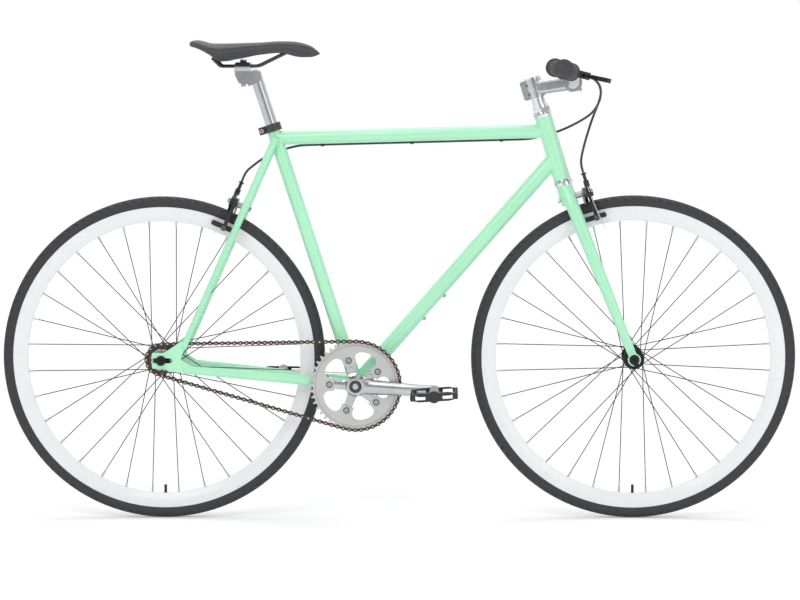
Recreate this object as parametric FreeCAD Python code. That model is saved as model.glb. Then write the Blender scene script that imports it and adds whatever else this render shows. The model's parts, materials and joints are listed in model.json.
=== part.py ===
import FreeCAD, Part
import math
import os

# A fixed gear bicycle: a welded steel frame, two spoked wheels, a chain drive without a freewheel,
# a riser bar and two cable-pulled rim brakes. X points forward, Y to the left and Z up, in millimetres.
# The origin lies on the ground, midway between the axles.

# Fits
overrun = 5.0
running_gap = 0.3
slip_gap = 0.1

# Wheels
wheel_base = 984.0
tyre_diameter = 678.0
tyre_section = 28.0
tyre_wall = 2.6
rim_outer_diameter = 634.0
rim_depth = 30.0
rim_width = 22.0
rim_wall = 2.5
rim_chamber_wall = 1.8
rim_well = 8.0
rim_track = 16.0
rim_nose_width = 11.0
bead_height = 5.0
spoke_count = 32
spokes_crossed = 3
spoke_diameter = 1.8
spoke_rim_offset = 2.2
spoke_rim_stagger = 1.1
spoke_flange_gap = 0.6
nipple_diameter = 4.4
nipple_length = 12.0
valve_diameter = 6.0
valve_bore = 2.5
inner_tube_wall = 0.9
valve_reach = 17.0
hub_flange_spacing = 70.0
hub_flange_thickness = 3.2
hub_barrel_diameter = 26.0
hub_end_diameter = 30.0
front_flange_diameter = 44.0
rear_flange_diameter = 52.0
spoke_circle_inset = 3.2
front_locknut_width = 100.0
rear_locknut_width = 120.0
axle_diameter = 10.0
cone_diameter = 17.0
cone_length = 9.0
axle_nut_width = 15.0
axle_nut_height = 9.0
axle_washer_diameter = 21.0
axle_washer_thickness = 2.0
axle_stub = 6.0
axle_stub_diameter = 9.0

# Chain drive
chain_pitch = 12.7
chain_link_count = 96
chainring_teeth = 46
cog_teeth = 16
chain_line = 44.0
roller_diameter = 7.75
roller_width = 3.4
chain_pin_diameter = 3.6
chain_plate_height = 8.4
chain_waist_height = 4.4
chain_plate_thickness = 1.0
chain_pin_overhang = 0.5
tooth_gap = 0.15
tooth_height = 3.0
tooth_thickness = 2.8
tooth_flank_angle = 58.0
tooth_tip_share = 0.1
cog_bore_diameter = 35.0
lockring_diameter = 46.0
lockring_thickness = 3.6
lockring_notches = 4
lockring_notch = 5.0
bolt_circle = 110.0
spider_arms = 5
chainring_rim_radius = 85.0
chainring_bore_diameter = 91.8
chainring_window_radius = 70.0
chainring_step = 1.2
window_arm_width = 26.0
window_corner = 13.0
window_inner_radius = 33.0
chainring_bolt_diameter = 10.0
chainring_bolt_head = 1.6
crank_length = 165.0
crank_angle = -3.0
crank_boss_diameter = 36.0
crank_boss_depth = 24.0
crank_root_width = 31.0
crank_tip_width = 24.0
crank_root_depth = 15.0
crank_tip_depth = 12.0
crank_corner = 5.0
crank_flare = 12.0
spider_root_width = 21.0
spider_tip_width = 15.0
spider_thickness = 6.0
spider_round_share = 0.98
spider_shoulder_share = 0.55
dust_cap_diameter = 26.0
dust_cap_depth = 3.0
crank_bolt_diameter = 14.0
crank_bolt_dome = 4.0
crank_bolt_round = 3.2
spindle_diameter = 17.0
spindle_taper = 12.8

# Pedals
right_pedal_tilt = 3.4
left_pedal_tilt = -0.6
pedal_length = 98.0
pedal_width = 92.0
pedal_height = 18.0
pedal_body_diameter = 25.0
pedal_rail_thickness = 5.0
pedal_nose_share = 0.55
pedal_knee_share = 0.62
pedal_bar_thickness = 6.0
pedal_pin_diameter = 4.0
pedal_pin_height = 3.5
pedal_pins_per_side = 3
pedal_spindle_diameter = 11.0
pedal_axle_collar_diameter = 17.0
pedal_axle_collar = 4.0

# Frame
bottom_bracket_drop = 55.2
bracket_shell_diameter = 40.0
bracket_shell_width = 68.0
bracket_cup_diameter = 38.0
bracket_cup_lip = 1.5
seat_angle = 72.2
seat_tube_diameter = 28.6
seat_tube_length = 572.0
seat_tube_wall = 1.5
top_tube_diameter = 28.6
top_tube_rear = 541.0
top_tube_front = 505.0
top_tube_wall = 1.2
down_tube_diameter = 31.8
down_tube_front = 447.6
down_tube_wall = 1.2
head_angle = 73.0
fork_rake = 33.0
head_tube_diameter = 36.0
head_tube_bottom = 400.0
head_tube_top = 536.0
head_tube_wall = 2.2
chain_stay_height = 22.0
chain_stay_end_height = 17.0
chain_stay_width = 13.0
chain_stay_end_width = 11.0
chain_stay_root_offset = 21.0
chain_stay_end_ahead = 48.0
chain_stay_end_rise = -18.5
stay_bridge_diameter = 12.0
stay_bridge_ahead = 352.0
seat_stay_diameter = 16.0
seat_stay_end_diameter = 13.0
seat_stay_end_ahead = 47.0
seat_stay_end_rise = 27.0
seat_stay_top_offset = 18.0
seat_stay_top = 541.0
brake_bridge_diameter = 14.0
brake_bridge_share = 0.665
dropout_thickness = 6.0
dropout_slot = 10.6
dropout_slot_depth = 24.0
dropout_tail = 18.5
dropout_tail_height = 33.0
dropout_corner = 3.0
dropout_toe_ahead = 62.0
dropout_toe_height = 13.0
dropout_heel_rise = 40.0
dropout_heel_ahead = 42.0
dropout_heel_width = 13.0
dropout_notch_ahead = 40.0
dropout_notch_rise = 2.0
dropout_belly_ahead = 7.0
dropout_jaw_ahead = 17.0
dropout_jaw_drop = 23.0
stay_wall = 1.2
headset_diameter = 40.0
headset_cup_height = 6.0
headset_race_height = 5.7
locknut_height = 7.0
boss_screw_diameter = 5.0
boss_screw_head = 8.5
boss_screw_head_height = 4.5
boss_screw_first = 197.0
boss_screw_spacing = 64.0

# Fork
steerer_diameter = 28.6
steerer_bore = 25.6
crown_bottom = 345.0
crown_diameter = 34.0
crown_brake_height = 359.0
blade_top_height = 391.0
blade_meets_steerer = 390.0
fork_tip_thickness = 6.0
fork_tip_diameter = 27.0
fork_tip_slot = 10.6
fork_tip_neck = 17.0
blade_foot_height = 20.0
blade_height_shares = (0.0, 0.40, 0.78, 0.876, 0.942, 1.0)
blade_offset_shares = (1.0, 0.83, 0.675, 0.555, 0.37, 0.24)
blade_depth_shares = (0.64, 0.83, 0.97, 1.0, 1.0, 1.0)
blade_width_shares = (0.43, 0.60, 0.71, 0.80, 0.86, 0.86)
blade_section_shares = (0.0, 0.2, 0.4, 0.55, 0.68, 0.78, 0.83, 0.876, 0.91, 0.942, 0.97, 1.0)
blade_depth = 28.0

# Seat
seatpost_diameter = 25.4
seatpost_wall = 2.2
seatpost_inserted = 150.0
seatpost_exposed = 108.0
collar_height = 16.0
collar_wall = 4.0
collar_ear_reach = 11.0
collar_ear_width = 15.0
collar_slit = 2.0
collar_bolt_diameter = 5.0
collar_bolt_head = 9.0
rail_clamp_rise = 17.75201
rail_clamp_setback = 24.61626
rail_clamp_length = 34.0
rail_diameter = 7.0
rail_spread = 44.0
rail_tail_behind = 62.0
rail_tail_offset = 30.0
rail_tail_rise = 17.0
rail_knee_behind = 46.0
rail_knee_bend = 10.0
rail_bend_ahead = 32.0
rail_front_bend = 30.0
rail_nose_ahead = 88.0
rail_nose_offset = 12.0
rail_nose_rise = 27.0
cradle_height = 9.0
clamp_crown_share = 0.85
post_head_width = 26.0
post_head_drop = 24.0
clamp_bolt_diameter = 6.0
clamp_bolt_head = 10.0
clamp_nut_diameter = 14.0
clamp_nut_height = 6.0
saddle_tail_behind = 117.0
saddle_length = 276.0
saddle_width = 148.0
saddle_rise = 54.0
saddle_depth = 46.0
saddle_sections = 19
saddle_station_shares = (0.0, 0.05, 0.167, 0.228, 0.349, 0.533, 0.714, 0.837, 0.93, 1.0)
saddle_half_width_shares = (0.30, 0.42, 0.50, 0.49, 0.38, 0.22, 0.155, 0.145, 0.125, 0.06)
saddle_top_shares = (0.05, 0.0, 0.14, 0.15, 0.14, 0.11, 0.06, 0.11, 0.28, 0.55)
saddle_edge_shares = (0.15, 0.18, 0.40, 0.50, 0.45, 0.32, 0.26, 0.34, 0.45, 0.62)
saddle_skirt_shares = (0.30, 0.39, 0.77, 1.05, 0.90, 0.65, 0.60, 0.78, 0.75, 0.70)
saddle_tuck_share = 0.92

# Stem, bar and grips
quill_diameter = 25.4
quill_bottom = 450.0
quill_cap_diameter = 34.0
quill_cap_height = 6.0
stem_clamp_height = 598.0
stem_clamp_length = 40.0
stem_clamp_diameter = 36.0
stem_length = 80.0
stem_rise = 8.3
stem_neck_height = 30.0
stem_neck_width = 34.0
stem_corner = 9.0
bar_clamp_diameter = 38.0
bar_clamp_width = 44.0
faceplate_gap = 1.5
stem_bolt_diameter = 5.0
stem_bolt_head = 8.5
stem_bolt_share = 0.32
stem_bolt_rise = 16.0
bolt_seat_share = 0.3
stem_ear_reach = 9.0
stem_slit = 2.0
bar_diameter = 22.2
bar_wall = 2.2
bar_centre_diameter = 25.4
bar_centre_width = 70.0
bar_taper = 7.0
bar_half_width = 288.0
bar_flat = 52.0
bar_rise_end = 104.0
bar_rise = 20.0
bar_upsweep = 9.0
bar_backsweep = 28.0
bar_bend = 45.0
grip_length = 128.0
grip_diameter = 33.0
grip_flange_diameter = 41.0
grip_flange = 5.0
grip_end = 2.0
grip_ribs = 9
grip_rib_height = 1.2

# Brake levers
lever_place = 150.0
lever_slope = -14.0
lever_clamp_width = 13.0
lever_clamp_wall = 3.6
lever_bracket_height = 15.0
lever_bracket_length = 30.0
lever_fork_gap = 6.6
lever_pivot_ahead = 32.0
lever_pivot_out = 6.0
lever_pivot_diameter = 5.0
lever_eye_diameter = 13.0
lever_root_height = 6.0
lever_blade_height = 9.0
lever_blade_width = 9.0
lever_reach = 52.0
lever_length = 82.0
lever_line_shares = ((0.27, 0.12), (0.50, 0.25), (0.77, 0.68), (1.0, 1.0))
lever_width_shares = (0.5, 0.5, 0.48, 0.45)
lever_tip_diameter = 14.0
adjuster_diameter = 7.0
adjuster_collar_diameter = 10.0
adjuster_length = 14.0

# Brake calipers
brake_bolt_diameter = 6.0
brake_bolt_nut = 10.0
brake_bolt_nut_height = 5.0
brake_spacer_diameter = 14.0
front_arm_ahead = 33.0
rear_arm_ahead = 20.0
arm_thickness = 7.5
arm_gap = 0.5
arm_boss_diameter = 22.0
arm_width = 13.0
arm_reach = 54.2
arm_shoulder = 2.0
arm_knee_share = 0.58
arm_bend_share = 0.385
arm_width_shares = (0.5, 0.5, 0.45, 0.45)
branch_width_shares = (0.5, 0.4, 0.35)
branch_share = 0.5
cable_side = 41.0
cable_arm_rise = 20.0
cable_stop_diameter = 11.6
anchor_arm_drop = 4.0
anchor_bolt_diameter = 9.0
anchor_nut = 8.0
anchor_nut_height = 3.0
pad_gap = 2.6
pad_thickness = 8.0
pad_height = 10.0
pad_corner = 3.3
pad_length = 50.0
pad_holder = 3.0
pad_holder_length = 25.0
pad_holder_height = 7.0
pad_bolt_diameter = 5.0
pad_bolt_head = 11.0
pad_bolt_head_height = 4.0
caliper_nut_height = 5.0
spring_wire = 2.4
spring_rise = 5.0
spring_half_width = 10.0
spring_foot_share = 0.4
barrel_diameter = 7.0
barrel_length = 17.5
barrel_flange_diameter = 13.0
barrel_flange = 2.0

# Cables
housing_diameter = 5.0
inner_wire_diameter = 1.8
cable_lead = 16.0
cable_bend_share = 0.45
cable_anchor_drop = 14.0
cable_tail_ahead = 10.0
cable_tail_side = 6.0
cable_tail_drop = 66.0
clip_thickness = 1.6
clip_width = 7.0
clip_foot = 3.0
clip_seat = 0.3
clip_lean = 20.0
clip_place_shares = (0.17, 0.50, 0.83)
cable_straight_shares = (0.91, 0.09)
front_cable_points = ((404.0, 80.0, 924.0), (420.0, 64.0, 914.0), (427.0, 44.0, 897.0),
                      (421.0, 18.0, 873.0),
                      (406.0, -8.0, 839.5), (397.0, -22.0, 814.0), (389.0, -33.0, 789.0),
                      (383.0, -39.0, 766.0),
                      (380.0, -41.0, 745.1))
rear_cable_front_points = ((402.0, -80.0, 924.0), (419.0, -66.0, 908.0), (422.0, -50.0, 882.0),
                           (408.0, -30.0, 852.0), (380.0, -5.0, 832.0), (345.0, 18.0, 814.0),
                           (312.0, 25.0, 803.0), (280.0, 16.0, 796.0))
rear_cable_rear_points = ((-232.0, 24.0, 777.0), (-258.0, 36.0, 768.0), (-283.0, 40.0, 756.0),
                          (-305.0, 41.0, 740.0), (-322.4, 41.0, 725.3))

coincident = 1e-6
full_turn = 360.0
half_turn = 180.0
quarter_turn = 90.0


def vec(x, y, z):
    return FreeCAD.Vector(x, y, z)


def unit(vector):
    return vector * (1.0 / vector.Length)


def turn(degrees):
    """Unit direction in the side view, counted from forward towards up."""
    return vec(math.cos(math.radians(degrees)), 0, math.sin(math.radians(degrees)))


def rod(start, end, radius):
    run = end - start
    return Part.makeCylinder(radius, run.Length, start, run)


def cone(start, end, start_radius, end_radius):
    run = end - start
    return Part.makeCone(start_radius, end_radius, run.Length, start, run)


def pipe(start, end, outer_radius, inner_radius):
    past = unit(end - start) * overrun
    return rod(start, end, outer_radius).cut(rod(start - past, end + past, inner_radius))


def joined(shapes):
    """One solid from pieces that share room."""
    return shapes[0].multiFuse(shapes[1:]).removeSplitter()


def group(shapes):
    """Separate solids of one node."""
    return Part.makeCompound([solid for shape in shapes for solid in shape.Solids])


def rounded_wire(corners):
    """Closed wire through (point, radius) corners, each rounded by a tangent arc."""
    ends = []
    for index, (corner, radius) in enumerate(corners):
        before = unit(corners[index - 1][0] - corner)
        after = unit(corners[(index + 1) % len(corners)][0] - corner)
        if radius == 0:
            ends.append((corner, None, corner))
            continue
        half_angle = before.getAngle(after) / 2.0
        reach = radius / math.tan(half_angle)
        middle = corner + unit(before + after) * (radius / math.sin(half_angle) - radius)
        ends.append((corner + before * reach, middle, corner + after * reach))
    edges = []
    for index, (start, middle, end) in enumerate(ends):
        if middle is not None:
            edges.append(Part.Arc(start, middle, end).toShape())
        following = ends[(index + 1) % len(ends)][0]
        if not end.isEqual(following, coincident):
            edges.append(Part.LineSegment(end, following).toShape())
    return Part.Wire(edges)


def oval(centre, long_half, short_half):
    """Elliptic wire from its centre and its two half axes."""
    return Part.Wire(Part.Ellipse(centre + long_half, centre + short_half, centre).toShape())


def across(axis):
    """A unit direction square to an axis."""
    reference = vec(1, 0, 0) if abs(axis.z) > abs(axis.x) else vec(0, 0, 1)
    return unit(axis.cross(reference))


def spin(corners, base, axis):
    """Solid of revolution of (along, radius, corner radius) points about an axis."""
    out = across(axis)
    wire = rounded_wire([(base + axis * along + out * radius, bend) for along, radius, bend in corners])
    return Part.Face(wire).revolve(base, axis, full_turn)


def hexagon(base, axis, width, height):
    """Hexagonal prism, given across its flats."""
    out = across(axis)
    reach = width / math.sqrt(3.0)
    step = full_turn / 6
    points = [base + FreeCAD.Rotation(axis, step * index).multVec(out * reach) for index in range(6)]
    return Part.Face(Part.makePolygon(points + points[:1])).extrude(axis * height)


def bent_tube(points, bends, radius):
    """Tube of one radius along straight runs that tangent arcs join."""
    edges = []
    start = points[0]
    for before, corner, after, bend in zip(points, points[1:], points[2:], bends):
        back = unit(before - corner)
        ahead = unit(after - corner)
        half_angle = back.getAngle(ahead) / 2.0
        reach = bend / math.tan(half_angle)
        middle = corner + unit(back + ahead) * (bend / math.sin(half_angle) - bend)
        edges.append(Part.LineSegment(start, corner + back * reach).toShape())
        edges.append(Part.Arc(corner + back * reach, middle, corner + ahead * reach).toShape())
        start = corner + ahead * reach
    edges.append(Part.LineSegment(start, points[-1]).toShape())
    ring = Part.Wire(Part.makeCircle(radius, points[0], unit(points[1] - points[0])))
    return Part.Wire(edges).makePipeShell([ring], True, False)


def widest_bends(points, share):
    """Arc radii that take up the given share of the shorter run at each corner."""
    bends = []
    for before, corner, after in zip(points, points[1:], points[2:]):
        half_angle = (before - corner).getAngle(after - corner) / 2.0
        shorter = min((before - corner).Length, (after - corner).Length)
        bends.append(share * shorter * math.tan(half_angle))
    return bends


class Axes:
    """A place with forward, side and up directions, in which a piece is drawn."""

    def __init__(self, origin, forward, up):
        self.origin = origin
        self.forward = forward
        self.up = up
        self.side = up.cross(forward)

    def at(self, forward, side, up):
        return self.origin + self.forward * forward + self.side * side + self.up * up

    def plate(self, corners, start, thickness):
        """Plate with an outline of (forward, up, corner radius) points, raised along the side."""
        wire = rounded_wire([(self.at(ahead, start, rise), bend) for ahead, rise, bend in corners])
        return Part.Face(wire).extrude(self.side * thickness)

    def front_plate(self, corners, start, thickness):
        """Plate with an outline of (side, up, corner radius) points, raised forward."""
        wire = rounded_wire([(self.at(start, out, rise), bend) for out, rise, bend in corners])
        return Part.Face(wire).extrude(self.forward * thickness)

    def section(self, ahead, low_side, high_side, low, high, bend):
        """Rounded rectangle that stands square to the forward direction."""
        corners = ((low_side, low), (high_side, low), (high_side, high), (low_side, high))
        return rounded_wire([(self.at(ahead, out, rise), bend) for out, rise in corners])


# Main places
across_y = vec(0, 1, 0)
upward = vec(0, 0, 1)
wheel_radius = tyre_diameter / 2.0
rim_outer = rim_outer_diameter / 2.0
rim_inner = rim_outer - rim_depth
rear_axle_centre = vec(-wheel_base / 2.0, 0, wheel_radius)
front_axle_centre = vec(wheel_base / 2.0, 0, wheel_radius)


def pitch_radius(teeth):
    return chain_pitch / (2.0 * math.sin(math.pi / teeth))


def chain_links_for(centre_distance):
    """Number of pitches of a chain round both sprockets at a centre distance."""
    lead = math.asin((pitch_radius(chainring_teeth) - pitch_radius(cog_teeth)) / centre_distance)
    run = centre_distance * math.cos(lead) / chain_pitch
    front = (math.pi + 2.0 * lead) * chainring_teeth / (2.0 * math.pi)
    rear = (math.pi - 2.0 * lead) * cog_teeth / (2.0 * math.pi)
    return front + rear + 2.0 * run


def drive_centre_distance():
    """Centre distance at which the chain's links fill the path, found by halving."""
    low = pitch_radius(chainring_teeth) + pitch_radius(cog_teeth)
    high = chain_pitch * chain_link_count
    for _ in range(60):
        middle = (low + high) / 2.0
        if chain_links_for(middle) < chain_link_count:
            low = middle
        else:
            high = middle
    return high


stay_run = math.sqrt(drive_centre_distance() ** 2 - bottom_bracket_drop ** 2)
bracket_centre = rear_axle_centre + vec(stay_run, 0, -bottom_bracket_drop)
seat = Axes(bracket_centre, turn(quarter_turn - seat_angle), turn(half_turn - seat_angle))
steering_forward = turn(quarter_turn - head_angle)
steering = Axes(front_axle_centre - steering_forward * fork_rake, steering_forward,
                turn(half_turn - head_angle))


def tyre(centre):
    """Open-bellied casing whose beads sit between the rim's walls."""
    crown = wheel_radius - tyre_section / 2.0
    outer = tyre_section / 2.0
    inner = outer - tyre_wall
    shoulder = math.sqrt(outer ** 2 - (crown - rim_outer) ** 2)
    bead = rim_width / 2.0 - rim_wall - slip_gap
    lip = bead - tyre_wall
    lip_top = crown - math.sqrt(inner ** 2 - lip ** 2)
    foot = rim_outer - bead_height

    def place(side, radius):
        return centre + vec(radius, side, 0)

    outside = Part.Arc(place(shoulder, rim_outer), place(0, crown + outer), place(-shoulder, rim_outer))
    inside = Part.Arc(place(-lip, lip_top), place(0, crown + inner), place(lip, lip_top))
    left = Part.makePolygon([place(-shoulder, rim_outer), place(-bead, rim_outer), place(-bead, foot),
                             place(-lip, foot), place(-lip, lip_top)])
    right = Part.makePolygon([place(lip, lip_top), place(lip, foot), place(bead, foot),
                              place(bead, rim_outer), place(shoulder, rim_outer)])
    wire = Part.Wire([outside.toShape()] + left.Edges + [inside.toShape()] + right.Edges)
    return Part.Face(wire).revolve(centre, across_y, full_turn)


def inner_tube(centre):
    """Air tube with its valve, which comes through the rim at the foot of the wheel."""
    crown = wheel_radius - tyre_section / 2.0
    skin = tyre_section / 2.0 - tyre_wall - slip_gap
    ring = Part.makeTorus(crown, skin, centre, across_y)
    air = Part.makeTorus(crown, skin - inner_tube_wall, centre, across_y)
    foot = centre - upward * (rim_inner - valve_reach)
    valve = rod(centre - upward * crown, foot, valve_diameter / 2.0)
    air_way = rod(centre - upward * crown, foot + upward * overrun, valve_bore / 2.0)
    return joined([ring, valve.cut(air)]).cut(air).cut(air_way)


def rim(centre):
    """Deep hollow rim with a tyre well, flat brake tracks and a narrow nose."""
    half = rim_width / 2.0
    inside = half - rim_chamber_wall
    narrow = rim_nose_width / 2.0 - rim_chamber_wall
    chamber = [(inside, rim_outer - rim_well - rim_chamber_wall, 0),
               (inside, rim_outer - rim_track, rim_chamber_wall)]
    chamber += [(narrow, rim_inner + rim_chamber_wall, 0)]
    chamber += [(-side, radius, bend) for side, radius, bend in reversed(chamber)]
    well = half - rim_wall
    nose = rim_nose_width / 2.0
    corners = [(half, rim_outer, 0), (well, rim_outer, 0), (well, rim_outer - rim_well, 0)]
    corners += [(-well, rim_outer - rim_well, 0), (-well, rim_outer, 0), (-half, rim_outer, 0)]
    corners += [(-half, rim_outer - rim_track, rim_well), (-nose, rim_inner, rim_wall)]
    corners += [(nose, rim_inner, rim_wall), (half, rim_outer - rim_track, rim_well)]
    valve_hole = rod(centre - upward * (rim_outer - rim_wall), centre - upward * (rim_inner - overrun),
                     valve_diameter / 2.0 + slip_gap)
    return spin(corners, centre, across_y).cut(spin(chamber, centre, across_y)).cut(valve_hole)


def spokes(centre, flange_diameter):
    """Crossed spokes, alternately outside and inside their flange, each with its nipple at the rim."""
    wires = []
    nipples = []
    step = full_turn / (spoke_count / 2.0)
    hole_radius = flange_diameter / 2.0 - spoke_circle_inset
    seat_radius = rim_inner - running_gap - slip_gap
    half_flange = hub_flange_thickness / 2.0 + spoke_diameter / 2.0
    for side in (-1, 1):
        for index in range(spoke_count // 2):
            sense = 1 if index % 2 == 0 else -1
            angle = step * index + step / 2.0 + side * step / 4.0
            gap = spoke_flange_gap if sense > 0 else slip_gap
            hub_side = side * (hub_flange_spacing / 2.0 + sense * (half_flange + gap))
            rim_side = side * (spoke_rim_offset + sense * spoke_rim_stagger)
            start = centre + turn(angle) * hole_radius + across_y * hub_side
            end = centre + turn(angle + sense * spokes_crossed * step) * seat_radius + across_y * rim_side
            neck = end - unit(end - start) * nipple_length
            wires.append(rod(start, neck, spoke_diameter / 2.0))
            nipples.append(rod(neck, end, nipple_diameter / 2.0))
    return group(wires), group(nipples)


def hub(centre, flange_diameter, end_diameter, locknut_width):
    """Hub shell: two flanges on a waisted barrel, bored for the axle."""
    middle = hub_flange_spacing / 2.0
    inside = middle - hub_flange_thickness / 2.0
    outside = middle + hub_flange_thickness / 2.0
    end = locknut_width / 2.0 - cone_length - running_gap
    flange = flange_diameter / 2.0
    barrel = hub_barrel_diameter / 2.0
    bore = axle_diameter / 2.0 + running_gap
    boss = end_diameter / 2.0
    half = [(inside, barrel, hub_flange_thickness), (inside, flange, slip_gap),
            (outside, flange, slip_gap)]
    half += [(outside, boss, 0), (end, boss, spoke_diameter / 2.0), (end, bore, 0)]
    mirrored = [(-along, radius, bend) for along, radius, bend in reversed(half)]
    return spin(half + mirrored, centre, across_y)


def axle(centre, locknut_width, plate_thickness):
    """Axle with its cones, and a washer and a nut outside each fork end."""
    half = locknut_width / 2.0
    thread = across_y * (half + plate_thickness + axle_washer_thickness + axle_nut_height)
    end = thread + across_y * axle_stub
    pieces = [rod(centre - thread, centre + thread, axle_diameter / 2.0)]
    pieces.append(rod(centre - end, centre + end, axle_stub_diameter / 2.0))
    nuts = []
    for side in (-1, 1):
        out = across_y * side
        pieces.append(rod(centre + out * (half - cone_length), centre + out * half, cone_diameter / 2.0))
        seat_face = centre + out * (half + plate_thickness)
        washer_face = seat_face + out * axle_washer_thickness
        bore = axle_diameter / 2.0
        nuts.append(pipe(seat_face, washer_face, axle_washer_diameter / 2.0, bore))
        nut = hexagon(washer_face, out, axle_nut_width, axle_nut_height)
        nuts.append(nut.cut(rod(washer_face - out * overrun,
                                washer_face + out * (axle_nut_height + overrun), bore)))
    return joined(pieces), group(nuts)


def sprocket_outline(centre, teeth, first_gap, plane):
    """Toothed outline: round gaps for the rollers, straight flanks and flat tips."""
    radius = pitch_radius(teeth)
    gap = roller_diameter / 2.0 + tooth_gap
    tip = radius + tooth_height
    step = full_turn / teeth
    edges = []
    points = []
    for index in range(teeth):
        angle = first_gap + step * index
        crest = angle + step / 2.0
        root = centre + turn(angle) * radius + across_y * plane
        before = root + turn(angle + half_turn + tooth_flank_angle) * gap
        after = root + turn(angle + half_turn - tooth_flank_angle) * gap
        tip_start = centre + turn(crest - step * tooth_tip_share) * tip + across_y * plane
        tip_end = centre + turn(crest + step * tooth_tip_share) * tip + across_y * plane
        points.append((before, root - turn(angle) * gap, after, tip_start, tip_end))
    for index, (before, bottom, after, tip_start, tip_end) in enumerate(points):
        following = points[(index + 1) % teeth][0]
        edges.append(Part.Arc(before, bottom, after).toShape())
        edges.append(Part.LineSegment(after, tip_start).toShape())
        edges.append(Part.LineSegment(tip_start, tip_end).toShape())
        edges.append(Part.LineSegment(tip_end, following).toShape())
    return Part.Wire(edges)


class ChainPath:
    """Closed line of the chain's pivots, counted in pitches from the cog's upper tangent point."""

    def __init__(self):
        reach = bracket_centre - rear_axle_centre
        self.front_radius = pitch_radius(chainring_teeth)
        self.rear_radius = pitch_radius(cog_teeth)
        lead = math.degrees(math.asin((self.front_radius - self.rear_radius) / reach.Length))
        slope = math.degrees(math.atan2(reach.z, reach.x))
        self.upper = slope + quarter_turn + lead
        self.lower = slope - quarter_turn - lead
        self.front_step = full_turn / chainring_teeth
        self.rear_step = full_turn / cog_teeth
        self.run = reach.Length * math.cos(math.radians(lead)) / chain_pitch
        self.front_end = self.run + (self.upper - self.lower) / self.front_step
        self.rear_start = self.front_end + self.run
        self.front_gap = self.upper + self.run * self.front_step
        self.rear_gap = self.lower + self.rear_start * self.rear_step

    def at(self, count):
        """Place of a pivot, after so many pitches along the chain."""
        upper = turn(self.upper)
        lower = turn(self.lower)
        if count <= self.run:
            start = rear_axle_centre + upper * self.rear_radius
            end = bracket_centre + upper * self.front_radius
            place = start + (end - start) * (count / self.run)
        elif count <= self.front_end:
            place = bracket_centre + turn(self.front_gap - count * self.front_step) * self.front_radius
        elif count <= self.rear_start:
            start = bracket_centre + lower * self.front_radius
            end = rear_axle_centre + lower * self.rear_radius
            place = start + (end - start) * ((count - self.front_end) / self.run)
        else:
            place = rear_axle_centre + turn(self.rear_gap - count * self.rear_step) * self.rear_radius
        return place - across_y * chain_line


chain_path = ChainPath()
plate_lean = 55.0


def chain_plate(low, high):
    """Waisted side plate round two pivots, a pitch apart along X."""
    radius = chain_plate_height / 2.0
    ahead = radius * math.cos(math.radians(plate_lean))
    rise = radius * math.sin(math.radians(plate_lean))
    waist = chain_waist_height / 2.0
    middle = chain_pitch / 2.0

    def place(along, up):
        return vec(along, low, up)

    far = chain_pitch - ahead
    edges = [Part.Arc(place(ahead, rise), place(-radius, 0), place(ahead, -rise)),
             Part.Arc(place(ahead, -rise), place(middle, -waist), place(far, -rise)),
             Part.Arc(place(far, -rise), place(chain_pitch + radius, 0), place(far, rise)),
             Part.Arc(place(far, rise), place(middle, waist), place(ahead, rise))]
    return Part.Face(Part.Wire([edge.toShape() for edge in edges])).extrude(across_y * (high - low))


def chain_links():
    """An inner link with its rollers and an outer link with its pins."""
    inner_face = roller_width / 2.0
    inner_back = inner_face + chain_plate_thickness
    outer_face = inner_back + slip_gap
    outer_back = outer_face + chain_plate_thickness
    pin_end = outer_back + chain_pin_overhang
    pivots = [vec(0, 0, 0), vec(chain_pitch, 0, 0)]
    pin = chain_pin_diameter / 2.0
    inner = [chain_plate(inner_face, inner_back), chain_plate(-inner_back, -inner_face)]
    inner += [rod(p - across_y * inner_face, p + across_y * inner_face,
                  roller_diameter / 2.0) for p in pivots]
    bores = [rod(p - across_y * pin_end, p + across_y * pin_end, pin + slip_gap) for p in pivots]
    outer = [chain_plate(outer_face, outer_back), chain_plate(-outer_back, -outer_face)]
    outer += [rod(p - across_y * pin_end, p + across_y * pin_end, pin) for p in pivots]
    return joined(inner).cut(Part.makeCompound(bores)), joined(outer)


def chain():
    """Roller chain of alternate inner and outer links, wrapped on both sprockets."""
    inner, outer = chain_links()
    links = []
    for index in range(chain_link_count):
        start = chain_path.at(index)
        run = chain_path.at((index + 1) % chain_link_count) - start
        link = (inner if index % 2 else outer).copy()
        angle = math.degrees(math.atan2(run.z, run.x))
        link.Placement = FreeCAD.Placement(start, FreeCAD.Rotation(across_y, -angle))
        links.append(link)
    return group(links)


def cog():
    """Track cog: a toothed plate with a threaded shoulder towards the hub flange."""
    plane = -chain_line - tooth_thickness / 2.0
    outline = sprocket_outline(rear_axle_centre, cog_teeth, chain_path.rear_gap, plane)
    plate = Part.Face(outline).extrude(across_y * tooth_thickness)
    flange_face = hub_flange_spacing / 2.0 + hub_flange_thickness / 2.0 + slip_gap
    shoulder = rod(rear_axle_centre - across_y * flange_face, rear_axle_centre - across_y * chain_line,
                   rear_flange_diameter / 2.0 - spoke_circle_inset - 2.0 * spoke_diameter)
    bore = rod(rear_axle_centre - across_y * (chain_line + overrun),
               rear_axle_centre - across_y * (flange_face - overrun), cog_bore_diameter / 2.0 + slip_gap)
    return joined([plate, shoulder]).cut(bore)


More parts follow.
